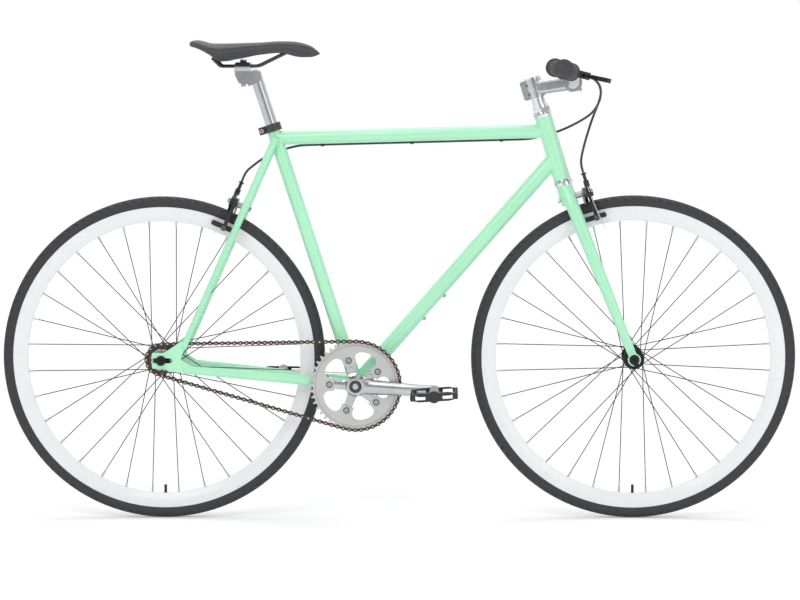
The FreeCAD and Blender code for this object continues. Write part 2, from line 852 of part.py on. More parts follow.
def cog_lockring():
    """Notched ring that holds the cog on the hub."""
    face = rear_axle_centre - across_y * (chain_line + tooth_thickness / 2.0)
    back = face - across_y * lockring_thickness
    ring = pipe(face, back, lockring_diameter / 2.0, cog_bore_diameter / 2.0 + slip_gap)
    notches = []
    for index in range(lockring_notches):
        out = turn(full_turn / lockring_notches * index) * (lockring_diameter / 2.0)
        notches.append(rod(face + out + across_y * overrun, back + out - across_y * overrun,
                           lockring_notch / 2.0))
    return ring.cut(Part.makeCompound(notches))


def drive_axes(angle):
    return Axes(bracket_centre, turn(angle), turn(angle + quarter_turn))


def spider_axes():
    first = crank_angle + full_turn / spider_arms / 2.0
    return [drive_axes(first + full_turn / spider_arms * index) for index in range(spider_arms)]


ring_back = chain_line - tooth_thickness / 2.0
ring_front = chain_line + tooth_thickness / 2.0 + chainring_step
window_crown_share = 1.07
window_bend_share = 0.5


def chainring():
    """Toothed ring with five rounded windows and a drilled tab for each spider arm."""
    outline = sprocket_outline(bracket_centre, chainring_teeth, chain_path.front_gap, -ring_back)
    teeth = Part.Face(outline).extrude(-across_y * tooth_thickness)
    raised = rod(bracket_centre - across_y * ring_back, bracket_centre - across_y * ring_front,
                 chainring_rim_radius)
    half_step = half_turn / spider_arms
    lean = math.radians(half_step)
    half_arm = window_arm_width / 2.0
    through = across_y * (ring_front + overrun)
    cuts = [rod(bracket_centre, bracket_centre - through, chainring_bore_diameter / 2.0)]
    for axes in spider_axes():
        hole = axes.at(bolt_circle / 2.0, 0, 0)
        cuts.append(rod(hole, hole - through, chainring_bolt_diameter / 2.0 + slip_gap))
    for index in range(spider_arms):
        axes = drive_axes(crank_angle + 2.0 * half_step * index)
        ends = []
        for reach in (window_inner_radius, chainring_window_radius):
            ends.append((reach * math.cos(lean) + half_arm * math.sin(lean),
                         reach * math.sin(lean) - half_arm * math.cos(lean)))
        (low, low_half), (high, high_half) = ends
        crown = chainring_window_radius * window_crown_share
        corners = [(low, -low_half, 0), (high, -high_half, window_corner)]
        corners += [(crown, 0, chainring_window_radius * window_bend_share)]
        corners += [(high, high_half, window_corner), (low, low_half, 0)]
        cuts.append(axes.plate(corners, -ring_front - overrun, ring_front))
    return joined([teeth, raised]).cut(Part.makeCompound(cuts))


def chainring_bolts():
    """Sleeve bolts through the ring's tabs and the spider arms."""
    bolts = []
    for axes in spider_axes():
        hole = axes.at(bolt_circle / 2.0, 0, 0)
        back = hole - across_y * (ring_back - spider_thickness)
        front = hole - across_y * ring_front
        shank = rod(back, front, chainring_bolt_diameter / 2.0)
        head_radius = chainring_bolt_diameter / 2.0 + chainring_bolt_head
        head = rod(front, front - across_y * chainring_bolt_head, head_radius)
        socket = hexagon(front - across_y * chainring_bolt_head, across_y, chainring_bolt_diameter / 2.0,
                         chainring_bolt_head + overrun)
        bolts.append(joined([shank, head]).cut(socket))
    return group(bolts)


boss_face = bracket_shell_width / 2.0 + bracket_cup_lip + running_gap
crank_face = boss_face + crank_boss_depth
crank_tip_face = crank_face + crank_flare
crank_station_shares = (0.0, 0.24, 0.55, 1.0)
crank_taper_shares = (0.0, 0.05, 0.62, 1.0)


def between(low, high, share):
    return low + (high - low) * share


def crank_blank(side, angle):
    """Tapered arm that sweeps out from its boss to the pedal eye, bored for spindle and pedal."""
    axes = drive_axes(angle)
    sections = []
    for station, taper in zip(crank_station_shares, crank_taper_shares):
        face = between(crank_face - slip_gap, crank_tip_face, taper)
        depth = between(crank_root_depth, crank_tip_depth, taper)
        half = between(crank_root_width, crank_tip_width, taper) / 2.0
        low, high = sorted((side * face, side * (face - depth)))
        sections.append(axes.section(crank_length * station, low, high, -half, half, crank_corner))
    arm = Part.makeLoft(sections, True, False)
    boss = rod(axes.at(0, side * boss_face, 0), axes.at(0, side * crank_face, 0),
               crank_boss_diameter / 2.0)
    eye = rod(axes.at(crank_length, side * (crank_tip_face - crank_tip_depth), 0),
              axes.at(crank_length, side * crank_tip_face, 0), crank_tip_width / 2.0)
    return axes, [boss, arm, eye]


def crank_bores(axes, side):
    inner = axes.at(0, side * (boss_face - overrun), 0)
    seat_face = axes.at(0, side * (crank_face - dust_cap_depth), 0)
    outer = axes.at(0, side * (crank_face + overrun), 0)
    pedal_hole = rod(axes.at(crank_length, side * (crank_tip_face - crank_tip_depth - overrun), 0),
                     axes.at(crank_length, side * (crank_tip_face + overrun), 0),
                     pedal_spindle_diameter / 2.0 + slip_gap)
    collar_seat = rod(axes.at(crank_length, side * crank_tip_face, 0),
                      axes.at(crank_length, side * (crank_tip_face + pedal_axle_collar), 0),
                      pedal_axle_collar_diameter / 2.0 + running_gap)
    return Part.makeCompound([rod(inner, seat_face, spindle_taper / 2.0 + slip_gap), pedal_hole,
                              collar_seat,
                              rod(seat_face, outer, dust_cap_diameter / 2.0 + slip_gap)])


def spider_star(tip, root_width, tip_width, plane, thickness):
    """Star-shaped plate with a rounded, tapered arm for each chainring bolt."""
    half_tip = tip_width / 2.0
    half_step = half_turn / spider_arms
    throat = root_width / 2.0 / math.sin(math.radians(half_step))
    corners = []
    for index, arm in enumerate(spider_axes()):
        between_arms = drive_axes(crank_angle + half_step * (2 * index + 2))
        corners.append((arm.at(tip, -plane, -half_tip), half_tip * spider_round_share))
        corners.append((arm.at(tip, -plane, half_tip), half_tip * spider_round_share))
        corners.append((between_arms.at(throat, -plane, 0), crank_corner))
    return Part.Face(rounded_wire(corners)).extrude(across_y * -thickness)


def right_crank():
    """Drive-side crank with its five-armed spider behind the chainring."""
    axes, blank = crank_blank(-1, crank_angle)
    half_tip = spider_tip_width / 2.0
    back = spider_star(bolt_circle / 2.0 + half_tip, spider_root_width, spider_tip_width, ring_back,
                       -spider_thickness)
    shoulder = bolt_circle / 2.0 - window_arm_width * spider_shoulder_share
    rib = spider_star(shoulder, spider_root_width - crank_corner, half_tip,
                      ring_back - crank_corner / 2.0,
                      spider_thickness)
    skirt = cone(bracket_centre - across_y * ring_back,
                 bracket_centre - across_y * (crank_face - dust_cap_depth),
                 crank_boss_diameter / 2.0 + crank_corner, crank_boss_diameter / 2.0)
    holes = []
    for arm in spider_axes():
        hole = arm.at(bolt_circle / 2.0, 0, 0)
        holes.append(rod(hole, hole - across_y * ring_front, chainring_bolt_diameter / 2.0 + slip_gap))
    spider = joined([blank[0], back, rib, skirt]).cut(Part.makeCompound(holes))
    return joined([spider] + blank[1:]).cut(crank_bores(axes, -1))


def left_crank():
    axes, pieces = crank_blank(1, crank_angle + half_turn)
    return joined(pieces).cut(crank_bores(axes, 1))


def crank_bolts():
    """A dust cap ring and a domed bolt in the outer face of each crank."""
    solids = []
    for side in (-1, 1):
        out = across_y * side
        seat_face = bracket_centre + out * (crank_face - dust_cap_depth)
        face = bracket_centre + out * crank_face
        solids.append(pipe(seat_face, face, dust_cap_diameter / 2.0,
                           crank_bolt_diameter / 2.0 + slip_gap))
        half = crank_bolt_diameter / 2.0
        dome = [(0, 0, 0), (crank_bolt_dome, 0, 0), (crank_bolt_dome, half, crank_bolt_round),
                (0, half, 0)]
        solids.append(spin(dome, seat_face, out))
    return group(solids)


def crank_spindle():
    """Bottom bracket spindle with a thinner seat for each crank."""
    half = bracket_shell_width / 2.0 + bracket_cup_lip
    end = crank_face - dust_cap_depth
    thick = rod(bracket_centre - across_y * half, bracket_centre + across_y * half,
                spindle_diameter / 2.0)
    thin = rod(bracket_centre - across_y * end, bracket_centre + across_y * end, spindle_taper / 2.0)
    return joined([thick, thin])


def pedal_axes(side):
    angle = crank_angle if side < 0 else crank_angle + half_turn
    tilt = right_pedal_tilt if side < 0 else left_pedal_tilt
    return Axes(bracket_centre + turn(angle) * crank_length, turn(tilt), turn(tilt + quarter_turn))


pedal_inner = crank_tip_face + pedal_axle_collar
pedal_outer = pedal_inner + pedal_width


def pedal_spindles():
    """Pedal axles screwed into the crank eyes, each with a collar beside the crank."""
    solids = []
    for side in (-1, 1):
        axes = pedal_axes(side)
        start = axes.at(0, side * (crank_tip_face - crank_tip_depth), 0)
        end = axes.at(0, side * (pedal_outer - pedal_rail_thickness - running_gap), 0)
        collar_start = axes.at(0, side * crank_tip_face, 0)
        collar_end = axes.at(0, side * (pedal_inner - running_gap), 0)
        solids.append(joined([rod(start, end, pedal_spindle_diameter / 2.0),
                              rod(collar_start, collar_end, pedal_axle_collar_diameter / 2.0)]))
    return group(solids)


def pedal(side):
    """Cage pedal: a barrel, two end plates, a bar fore and aft, and grip pins above and below."""
    axes = pedal_axes(side)
    half_length = pedal_length / 2.0
    half_height = pedal_height / 2.0
    bar_half = half_height * pedal_nose_share
    knee = half_length * pedal_knee_share
    bend = pedal_rail_thickness / 2.0
    quarter = [(half_length, bar_half, bend), (knee, half_height, bend)]
    outline = [(a, b, r) for a, b, r in quarter] + [(-a, b, r) for a, b, r in reversed(quarter)]
    outline += [(-a, -b, r) for a, b, r in quarter] + [(a, -b, r) for a, b, r in reversed(quarter)]
    low, high = sorted((side * pedal_inner, side * pedal_outer))
    barrel_edge = pedal_body_diameter / 2.0 + pedal_rail_thickness
    window_end = half_length - pedal_bar_thickness - pedal_rail_thickness
    pieces = [rod(axes.at(0, low, 0), axes.at(0, high, 0), pedal_body_diameter / 2.0)]
    for start in (low, high - pedal_rail_thickness):
        rail = axes.plate(outline, start, pedal_rail_thickness)
        for sense in (-1, 1):
            hole = [(sense * barrel_edge, -bar_half, bend / 2.0),
                    (sense * window_end, -bar_half, bend / 2.0)]
            hole += [(sense * window_end, bar_half, bend / 2.0),
                     (sense * barrel_edge, bar_half, bend / 2.0)]
            rail = rail.cut(axes.plate(hole, start - overrun, pedal_rail_thickness + 2.0 * overrun))
        pieces.append(rail)
    for sense in (-1, 1):
        near = sense * (half_length - pedal_bar_thickness)
        far = sense * half_length
        bar = [(near, -bar_half, 0), (far, -bar_half, bend), (far, bar_half, bend), (near, bar_half, 0)]
        pieces.append(axes.plate(bar, low, high - low))
        for index in range(pedal_pins_per_side):
            along = between(low, high, (2 * index + 1) / (2.0 * pedal_pins_per_side))
            middle = (near + far) / 2.0
            reach = bar_half + pedal_pin_height
            pieces.append(rod(axes.at(middle, along, -reach), axes.at(middle, along, reach),
                              pedal_pin_diameter / 2.0))
    bore_start = axes.at(0, side * (pedal_inner - overrun), 0)
    bore_end = axes.at(0, side * (pedal_outer - pedal_rail_thickness), 0)
    return joined(pieces).cut(rod(bore_start, bore_end, pedal_spindle_diameter / 2.0 + running_gap))


# Frame
seat_rod = rod(seat.at(0, 0, 0), seat.at(0, 0, seat_tube_length), seat_tube_diameter / 2.0)
head_rod = rod(steering.at(0, 0, head_tube_bottom), steering.at(0, 0, head_tube_top),
               head_tube_diameter / 2.0)
shell_half = across_y * (bracket_shell_width / 2.0)
shell_rod = rod(bracket_centre - shell_half, bracket_centre + shell_half, bracket_shell_diameter / 2.0)
cup_radius = bracket_cup_diameter / 2.0 - bracket_cup_lip
top_tube_start = seat.at(0, 0, top_tube_rear)
top_tube_end = steering.at(0, 0, top_tube_front)
down_tube_end = steering.at(0, 0, down_tube_front)
dropout_plane = rear_locknut_width / 2.0


def hollow(start, end, diameter, wall):
    return pipe(start, end, diameter / 2.0, diameter / 2.0 - wall)


def seat_tube():
    """Seat tube, bored for the seatpost and mitred to the bracket shell."""
    return hollow(bracket_centre, seat.at(0, 0, seat_tube_length), seat_tube_diameter,
                  seat_tube_wall).cut(shell_rod)


def top_tube():
    """Top tube, mitred to the seat tube and the head tube."""
    return hollow(top_tube_start, top_tube_end, top_tube_diameter,
                  top_tube_wall).cut(seat_rod).cut(head_rod)


def boss_axes():
    """The place of each bottle cage screw, on the upper side of the down tube."""
    along = unit(down_tube_end - bracket_centre)
    out = along.cross(across_y) * -1.0
    places = []
    for index in range(2):
        place = bracket_centre + along * (boss_screw_first + boss_screw_spacing * index)
        places.append(Axes(place, along, out))
    return places


def down_tube():
    """Down tube, mitred at both ends and drilled for the bottle cage screws."""
    tube = hollow(bracket_centre, down_tube_end, down_tube_diameter, down_tube_wall)
    for axes in boss_axes():
        tube = tube.cut(rod(axes.at(0, 0, 0), axes.at(0, 0, down_tube_diameter),
                            boss_screw_diameter / 2.0 + slip_gap))
    return tube.cut(shell_rod).cut(seat_rod).cut(head_rod)


def bottle_screws():
    """Round-headed screws in the bottle cage bosses."""
    screws = []
    surface = down_tube_diameter / 2.0
    for axes in boss_axes():
        shank = rod(axes.at(0, 0, surface - boss_screw_head), axes.at(0, 0, surface + slip_gap),
                    boss_screw_diameter / 2.0)
        half = boss_screw_head / 2.0
        head = [(0, 0, 0), (boss_screw_head_height, 0, 0),
                (boss_screw_head_height, half, boss_screw_head_height / 2.0)]
        head += [(0, half, 0)]
        screws.append(joined([shank, spin(head, axes.at(0, 0, surface + slip_gap / 2.0), axes.up)]))
    return group(screws)


def head_tube():
    return hollow(steering.at(0, 0, head_tube_bottom), steering.at(0, 0, head_tube_top),
                  head_tube_diameter, head_tube_wall)


def bottom_bracket_shell():
    return pipe(bracket_centre - shell_half, bracket_centre + shell_half, bracket_shell_diameter / 2.0,
                cup_radius)


def bottom_bracket_cups():
    """Threaded cups with a thin lip, which carry the spindle."""
    cups = []
    for side in (-1, 1):
        out = across_y * side
        face = bracket_centre + shell_half * side
        inner = face - out * (cup_radius - bracket_cup_lip)
        body = rod(inner, face, cup_radius - slip_gap / 2.0)
        lip = rod(face, face + out * bracket_cup_lip, bracket_cup_diameter / 2.0)
        bore = rod(inner - out * overrun, face + out * overrun, spindle_diameter / 2.0 + running_gap)
        cups.append(joined([body, lip]).cut(bore))
    return group(cups)


def dropout(side):
    """Track fork end: a plate with a slot open to the rear and a notch between its two stays."""
    axes = Axes(rear_axle_centre, vec(1, 0, 0), upward)
    half_tail = dropout_tail_height / 2.0
    half_slot = dropout_slot / 2.0
    half_toe = dropout_toe_height / 2.0
    bend = dropout_corner
    corners = [(-dropout_tail, half_tail, bend), (dropout_belly_ahead, half_tail, 4.0 * bend)]
    corners += [(dropout_heel_ahead, dropout_heel_rise, bend)]
    corners += [(dropout_heel_ahead + dropout_heel_width, dropout_heel_rise - bend, bend)]
    corners += [(dropout_notch_ahead, dropout_notch_rise, 2.0 * bend)]
    corners += [(dropout_toe_ahead, chain_stay_end_rise + half_toe, bend)]
    corners += [(dropout_toe_ahead, chain_stay_end_rise - half_toe, bend)]
    corners += [(dropout_jaw_ahead, -dropout_jaw_drop, 2.0 * bend),
                (dropout_belly_ahead, -half_tail, bend)]
    corners += [(-dropout_tail, -half_tail, bend)]
    corners += [(-dropout_tail, -half_slot, 0), (dropout_slot_depth, -half_slot, half_slot - slip_gap)]
    corners += [(dropout_slot_depth, half_slot, half_slot - slip_gap), (-dropout_tail, half_slot, 0)]
    low = min(side * dropout_plane, side * (dropout_plane + dropout_thickness))
    return axes.plate(corners, low, dropout_thickness)


def chain_stay(side, inset):
    """Tapered oval stay; the inset gives its bore."""
    start = bracket_centre + across_y * (side * chain_stay_root_offset)
    end = rear_axle_centre + vec(chain_stay_end_ahead, side * (dropout_plane + dropout_thickness / 2.0),
                                 chain_stay_end_rise)
    along = unit(end - start)
    rise = unit(across_y.cross(along))
    out = along.cross(rise)
    root = oval(start, rise * (chain_stay_height / 2.0 - inset), out * (chain_stay_width / 2.0 - inset))
    tip = oval(end, rise * (chain_stay_end_height / 2.0 - inset),
               out * (chain_stay_end_width / 2.0 - inset))
    return Part.makeLoft([root, tip], True, True)


def chain_stays():
    """Both chain stays, slotted for the fork ends, and the bridge between them."""
    solids = []
    outer = [chain_stay(side, 0) for side in (-1, 1)]
    for side, stay in zip((-1, 1), outer):
        tube = stay.cut(chain_stay(side, stay_wall))
        solids.append(max(tube.cut(shell_rod).cut(dropout(side)).Solids, key=lambda solid: solid.Volume))
    place = rear_axle_centre + unit(bracket_centre - rear_axle_centre) * stay_bridge_ahead
    reach = across_y * chain_stay_root_offset * 2.0
    bridge = rod(place - reach, place + reach, stay_bridge_diameter / 2.0).cut(outer[0]).cut(outer[1])
    solids.append(min(bridge.Solids, key=lambda solid: abs(solid.CenterOfMass.y)))
    return group(solids)


def seat_stay_line(side):
    start = rear_axle_centre + vec(seat_stay_end_ahead, side * (dropout_plane + dropout_thickness / 2.0),
                                   seat_stay_end_rise)
    return start, seat.at(0, side * seat_stay_top_offset, seat_stay_top)


def seat_stay(side, inset):
    start, end = seat_stay_line(side)
    return cone(start, end, seat_stay_end_diameter / 2.0 - inset, seat_stay_diameter / 2.0 - inset)


stay_foot, stay_head = seat_stay_line(0)
stay_angle = math.degrees(math.atan2(stay_head.z - stay_foot.z, stay_head.x - stay_foot.x))
bridge_centre = stay_foot + (stay_head - stay_foot) * brake_bridge_share
rear_brake = Axes(bridge_centre, turn(stay_angle + quarter_turn), turn(stay_angle))
front_brake = Axes(steering.at(0, 0, crown_brake_height), steering.forward, steering.up)


def brake_bolt_hole(axes):
    return rod(axes.at(-crown_diameter, 0, 0), axes.at(crown_diameter, 0, 0),
               brake_bolt_diameter / 2.0 + slip_gap)


def seat_stays():
    """Both seat stays and the drilled bridge that carries the rear brake."""
    solids = []
    outer = [seat_stay(side, 0) for side in (-1, 1)]
    top_rod = rod(top_tube_start, top_tube_end, top_tube_diameter / 2.0)
    for side, stay in zip((-1, 1), outer):
        tube = stay.cut(seat_stay(side, stay_wall)).cut(seat_rod).cut(top_rod).cut(dropout(side))
        solids.append(max(tube.Solids, key=lambda solid: solid.Volume))
    reach = across_y * dropout_plane
    bridge = rod(bridge_centre - reach, bridge_centre + reach, brake_bridge_diameter / 2.0)
    bridge = bridge.cut(outer[0]).cut(outer[1]).cut(brake_bolt_hole(rear_brake))
    solids.append(min(bridge.Solids, key=lambda solid: abs(solid.CenterOfMass.y)))
    return group(solids)


steerer_radius = steerer_diameter / 2.0
race_bore = steerer_radius + running_gap
crown_top = head_tube_bottom - headset_cup_height - running_gap - headset_race_height
upper_cup_top = head_tube_top + headset_cup_height
upper_race_top = upper_cup_top + running_gap + headset_race_height
steerer_top = upper_race_top + locknut_height


def headset_cups():
    """Pressed cups at both ends of the head tube, each with a sleeve inside it."""
    sleeve = head_tube_diameter / 2.0 - head_tube_wall - slip_gap
    rim_radius = headset_diameter / 2.0
    bend = headset_cup_height / 4.0
    cups = []
    for end, sense in ((head_tube_bottom, -1), (head_tube_top, 1)):
        corners = [(0, sleeve, 0), (0, rim_radius - bend, 0), (headset_cup_height, rim_radius, bend)]
        corners += [(headset_cup_height, race_bore, 0), (-2.0 * headset_cup_height, race_bore, 0)]
        corners += [(-2.0 * headset_cup_height, sleeve, 0)]
        cups.append(spin(corners, steering.at(0, 0, end), steering.up * sense))
    return group(cups)


def headset_races():
    """Crown race, upper race and locknut on the steerer."""
    radius = headset_diameter / 2.0
    bend = headset_race_height / 4.0
    lower = pipe(steering.at(0, 0, crown_top), steering.at(0, 0, crown_top + headset_race_height), radius,
                 steerer_radius)
    start = upper_cup_top + running_gap
    corners = [(0, steerer_radius, 0), (0, radius, bend), (headset_race_height, radius - bend, bend)]
    corners += [(headset_race_height, steerer_radius, 0)]
    upper = spin(corners, steering.at(0, 0, start), steering.up)
    nut = hexagon(steering.at(0, 0, upper_race_top), steering.up, head_tube_diameter, locknut_height)
    bore = rod(steering.at(0, 0, upper_race_top - overrun), steering.at(0, 0, steerer_top + overrun),
               steerer_radius)
    return group([lower, upper, nut.cut(bore)])


def steerer():
    return pipe(steering.at(0, 0, crown_top), steering.at(0, 0, steerer_top), steerer_radius,
                steerer_bore / 2.0)


blade_top = steering.at(0, 0, blade_meets_steerer)
blade_up = unit(blade_top - front_axle_centre)
blade_axes = Axes(front_axle_centre, across_y.cross(blade_up), blade_up)
fork_tip_centre = front_locknut_width / 2.0 + fork_tip_thickness / 2.0


def fork_tip(side):
    """Fork end: a rounded plate with a slot open downwards."""
    low = side * fork_tip_centre - fork_tip_thickness / 2.0
    high = low + fork_tip_thickness
    radius = fork_tip_diameter / 2.0
    half_neck = fork_tip_neck / 2.0
    half_slot = fork_tip_slot / 2.0
    neck_top = blade_foot_height + fork_tip_neck
    disc = rod(blade_axes.at(0, low, 0), blade_axes.at(0, high, 0), radius)
    neck = blade_axes.plate([(-half_neck, 0, 0), (half_neck, 0, 0),
                             (half_neck, neck_top, half_neck / 2.0),
                             (-half_neck, neck_top, half_neck / 2.0)], low, fork_tip_thickness)
    seat_hole = rod(blade_axes.at(0, low - overrun, 0), blade_axes.at(0, high + overrun, 0), half_slot)
    mouth = blade_axes.plate([(-half_slot, -fork_tip_diameter, 0), (half_slot, -fork_tip_diameter, 0),
                              (half_slot, 0, 0), (-half_slot, 0, 0)], low - overrun,
                             fork_tip_thickness + 2.0 * overrun)
    return joined([disc, neck]).cut(seat_hole).cut(mouth)


def eased(stations, values, place):
    """Smooth curve through the values at rising stations, by cubic pieces with mean slopes."""
    slopes = []
    for index in range(len(stations)):
        low = max(index - 1, 0)
        high = min(index + 1, len(stations) - 1)
        slopes.append((values[high] - values[low]) / (stations[high] - stations[low]))
    index = max(count for count in range(len(stations) - 1) if stations[count] <= place or count == 0)
    width = stations[index + 1] - stations[index]
    part = (place - stations[index]) / width
    rest = 1.0 - part
    start = values[index] * (1.0 + 2.0 * part) * rest ** 2 + slopes[index] * width * part * rest ** 2
    end = values[index + 1] * (1.0 + 2.0 * rest) * part ** 2 - slopes[index + 1] * width * rest * part ** 2
    return start + end


def fork_blade(side):
    """Oval blade that bends out from the crown and tapers to the fork end."""
    half_depth = blade_depth / 2.0
    sections = []
    for height in blade_section_shares:
        offset = eased(blade_height_shares, blade_offset_shares, height)
        depth = eased(blade_height_shares, blade_depth_shares, height)
        width = eased(blade_height_shares, blade_width_shares, height)
        centre = blade_axes.at(0, side * fork_tip_centre * offset,
                               between(blade_foot_height, blade_top_height, height))
        sections.append(oval(centre, blade_axes.forward * (half_depth * depth),
                             across_y * (half_depth * width)))
    return Part.makeLoft(sections, True, True)


def fork():
    """Crown lug and both blades in one welded piece, drilled for the front brake."""
    top = steering.at(0, 0, crown_top)
    lug = rod(steering.at(0, 0, crown_bottom), top, crown_diameter / 2.0)
    above = rod(top, steering.at(0, 0, head_tube_top), tyre_diameter / 4.0)
    body = joined([lug, fork_blade(-1), fork_blade(1)]).cut(above)
    return body.cut(fork_tip(-1)).cut(fork_tip(1)).cut(brake_bolt_hole(front_brake))


# Seat
def seat_collar():
    """Clamp ring round the top of the seat tube, split behind, with two ears and a bolt through them."""
    low = seat_tube_length - collar_height
    bore_radius = seat_tube_diameter / 2.0 + slip_gap / 2.0
    outer = seat_tube_diameter / 2.0 + collar_wall
    ear_end = -outer - collar_ear_reach
    half_ear = collar_ear_width / 2.0
    bend = collar_wall / 2.0
    ring = rod(seat.at(0, 0, low), seat.at(0, 0, seat_tube_length), outer)
    ears = seat.plate([(-bore_radius, low, 0), (ear_end, low, bend), (ear_end, seat_tube_length, bend),
                       (-bore_radius, seat_tube_length, 0)], -half_ear, collar_ear_width)
    bore = rod(seat.at(0, 0, low - overrun), seat.at(0, 0, seat_tube_length + overrun), bore_radius)
    slit = seat.plate([(0, low - overrun, 0), (ear_end - overrun, low - overrun, 0),
                       (ear_end - overrun, seat_tube_length + overrun, 0),
                       (0, seat_tube_length + overrun, 0)],
                      -collar_slit / 2.0, collar_slit)
    bolt_ahead = ear_end + collar_ear_reach / 2.0
    middle = low + collar_height / 2.0
    bolt_hole = rod(seat.at(bolt_ahead, -outer, middle), seat.at(bolt_ahead, outer, middle),
                    collar_bolt_diameter / 2.0 + slip_gap)
    shank = rod(seat.at(bolt_ahead, -half_ear, middle), seat.at(bolt_ahead, half_ear, middle),
                collar_bolt_diameter / 2.0)
    heads = [rod(seat.at(bolt_ahead, side * half_ear, middle),
                 seat.at(bolt_ahead, side * (half_ear + collar_bolt_diameter), middle),
                 collar_bolt_head / 2.0)
             for side in (-1, 1)]
    collar = joined([ring, ears]).cut(bore).cut(slit).cut(bolt_hole)
    return group([collar, joined([shank] + heads)])


post_top = seat.at(0, 0, seat_tube_length + seatpost_exposed)
clamp = Axes(post_top + vec(-rail_clamp_setback, 0, rail_clamp_rise), vec(1, 0, 0), upward)
saddle_rear = clamp.origin.x - saddle_tail_behind
saddle_top = clamp.origin.z + saddle_rise
cradle_bottom = -rail_diameter / 2.0 - cradle_height
head_bottom = cradle_bottom - post_head_drop


def seatpost():
    """Hollow post with a set-back head that carries the saddle clamp."""
    radius = seatpost_diameter / 2.0
    foot = seat.at(0, 0, seat_tube_length - seatpost_inserted)
    post = pipe(foot, post_top, radius, radius - seatpost_wall)
    reach = rail_clamp_setback
    half = rail_clamp_length / 2.0
    rise = -rail_clamp_rise
    bend = post_head_drop / 4.0
    head = clamp.plate([(-half, cradle_bottom, 0), (-half, cradle_bottom - bend, bend / 2.0),
                        (-half / 2.0, head_bottom, bend), (half / 2.0, head_bottom, bend),
                        (reach - radius, rise - post_head_drop, 0),
                        (reach + radius, rise - post_head_drop / 2.0, 0),
                        (reach + radius, rise + bend, bend), (reach, rise + post_head_drop / 2.0, bend),
                        (half, cradle_bottom, bend / 2.0)], -post_head_width / 2.0, post_head_width)
    hole = rod(clamp.at(0, 0, head_bottom - overrun), clamp.at(0, 0, 0),
               clamp_bolt_diameter / 2.0 + slip_gap)
    return joined([post, head]).cut(hole)


def rail_points(side):
    """Corner points of one saddle rail, from under the tail to under the nose."""
    half = rail_spread / 2.0
    offsets = [vec(-rail_tail_behind, side * rail_tail_offset, rail_tail_rise),
               vec(-rail_knee_behind, side * half, 0), vec(rail_bend_ahead, side * half, 0),
               vec(rail_nose_ahead, side * rail_nose_offset, rail_nose_rise)]
    return [clamp.origin + offset for offset in offsets]


def saddle_rail(side):
    return bent_tube(rail_points(side), [rail_knee_bend, rail_front_bend], rail_diameter / 2.0)


def seatpost_clamp():
    """Grooved cradles below and above the rails, drawn together by one bolt."""
    half = rail_clamp_length / 2.0
    bend = rail_diameter / 2.0
    out = rail_spread / 2.0 + rail_diameter
    grooves = Part.makeCompound([rod(clamp.at(-rail_spread, side * rail_spread / 2.0, 0),
                                     clamp.at(rail_spread, side * rail_spread / 2.0, 0),
                                     rail_diameter / 2.0 + slip_gap) for side in (-1, 1)])
    hole = rod(clamp.at(0, 0, head_bottom), clamp.at(0, 0, rail_spread),
               clamp_bolt_diameter / 2.0 + slip_gap)
    top = rail_diameter / 2.0 + cradle_height / 2.0
    lower = clamp.plate([(-half, cradle_bottom, bend), (half, cradle_bottom, bend), (half, -slip_gap, 0),
                         (-half, -slip_gap, 0)], -out, 2.0 * out)
    upper = clamp.plate([(-half, slip_gap, 0), (half, slip_gap, 0), (half * clamp_crown_share, top, bend),
                         (-half * clamp_crown_share, top, bend)], -out, 2.0 * out)
    nut_top = top + clamp_nut_height
    bolt = rod(clamp.at(0, 0, head_bottom), clamp.at(0, 0, nut_top), clamp_bolt_diameter / 2.0)
    head = hexagon(clamp.at(0, 0, head_bottom), -upward, clamp_bolt_head, clamp_nut_height)
    nut = rod(clamp.at(0, 0, top), clamp.at(0, 0, nut_top), clamp_nut_diameter / 2.0)
    pieces = [lower.cut(grooves).cut(hole), upper.cut(grooves).cut(hole), joined([bolt, head, nut])]
    return group(pieces)


def saddle_section(station):
    """Saddle cross section: a crowned top arc, drawn-in sides and a flat base."""
    x = saddle_rear + saddle_length * station
    half = saddle_width * eased(saddle_station_shares, saddle_half_width_shares, station)
    top = saddle_top - saddle_depth * eased(saddle_station_shares, saddle_top_shares, station)
    edge = saddle_top - saddle_depth * eased(saddle_station_shares, saddle_edge_shares, station)
    base = saddle_top - saddle_depth * eased(saddle_station_shares, saddle_skirt_shares, station)
    tuck = half * saddle_tuck_share
    crown = Part.Arc(vec(x, -half, edge), vec(x, 0, top), vec(x, half, edge)).toShape()
    sides = Part.makePolygon([vec(x, half, edge), vec(x, tuck, base), vec(x, -tuck, base),
                              vec(x, -half, edge)])
    return Part.Wire([crown] + sides.Edges)


def saddle():
    """Padded saddle: broad wings, a dipped middle and a turned-down nose, over the ends of its rails."""
    count = saddle_sections - 1
    body = Part.makeLoft([saddle_section(index / count) for index in range(saddle_sections)], True, True)
    return body.cut(saddle_rail(-1)).cut(saddle_rail(1))


# Stem, bar and grips
stem = Axes(steering.at(0, 0, stem_clamp_height), turn(stem_rise), turn(stem_rise + quarter_turn))
bar_centre = stem.at(stem_length, 0, 0)
stem_low = stem_clamp_height - stem_clamp_length / 2.0
stem_high = stem_clamp_height + stem_clamp_length / 2.0
column_radius = steerer_diameter / 2.0


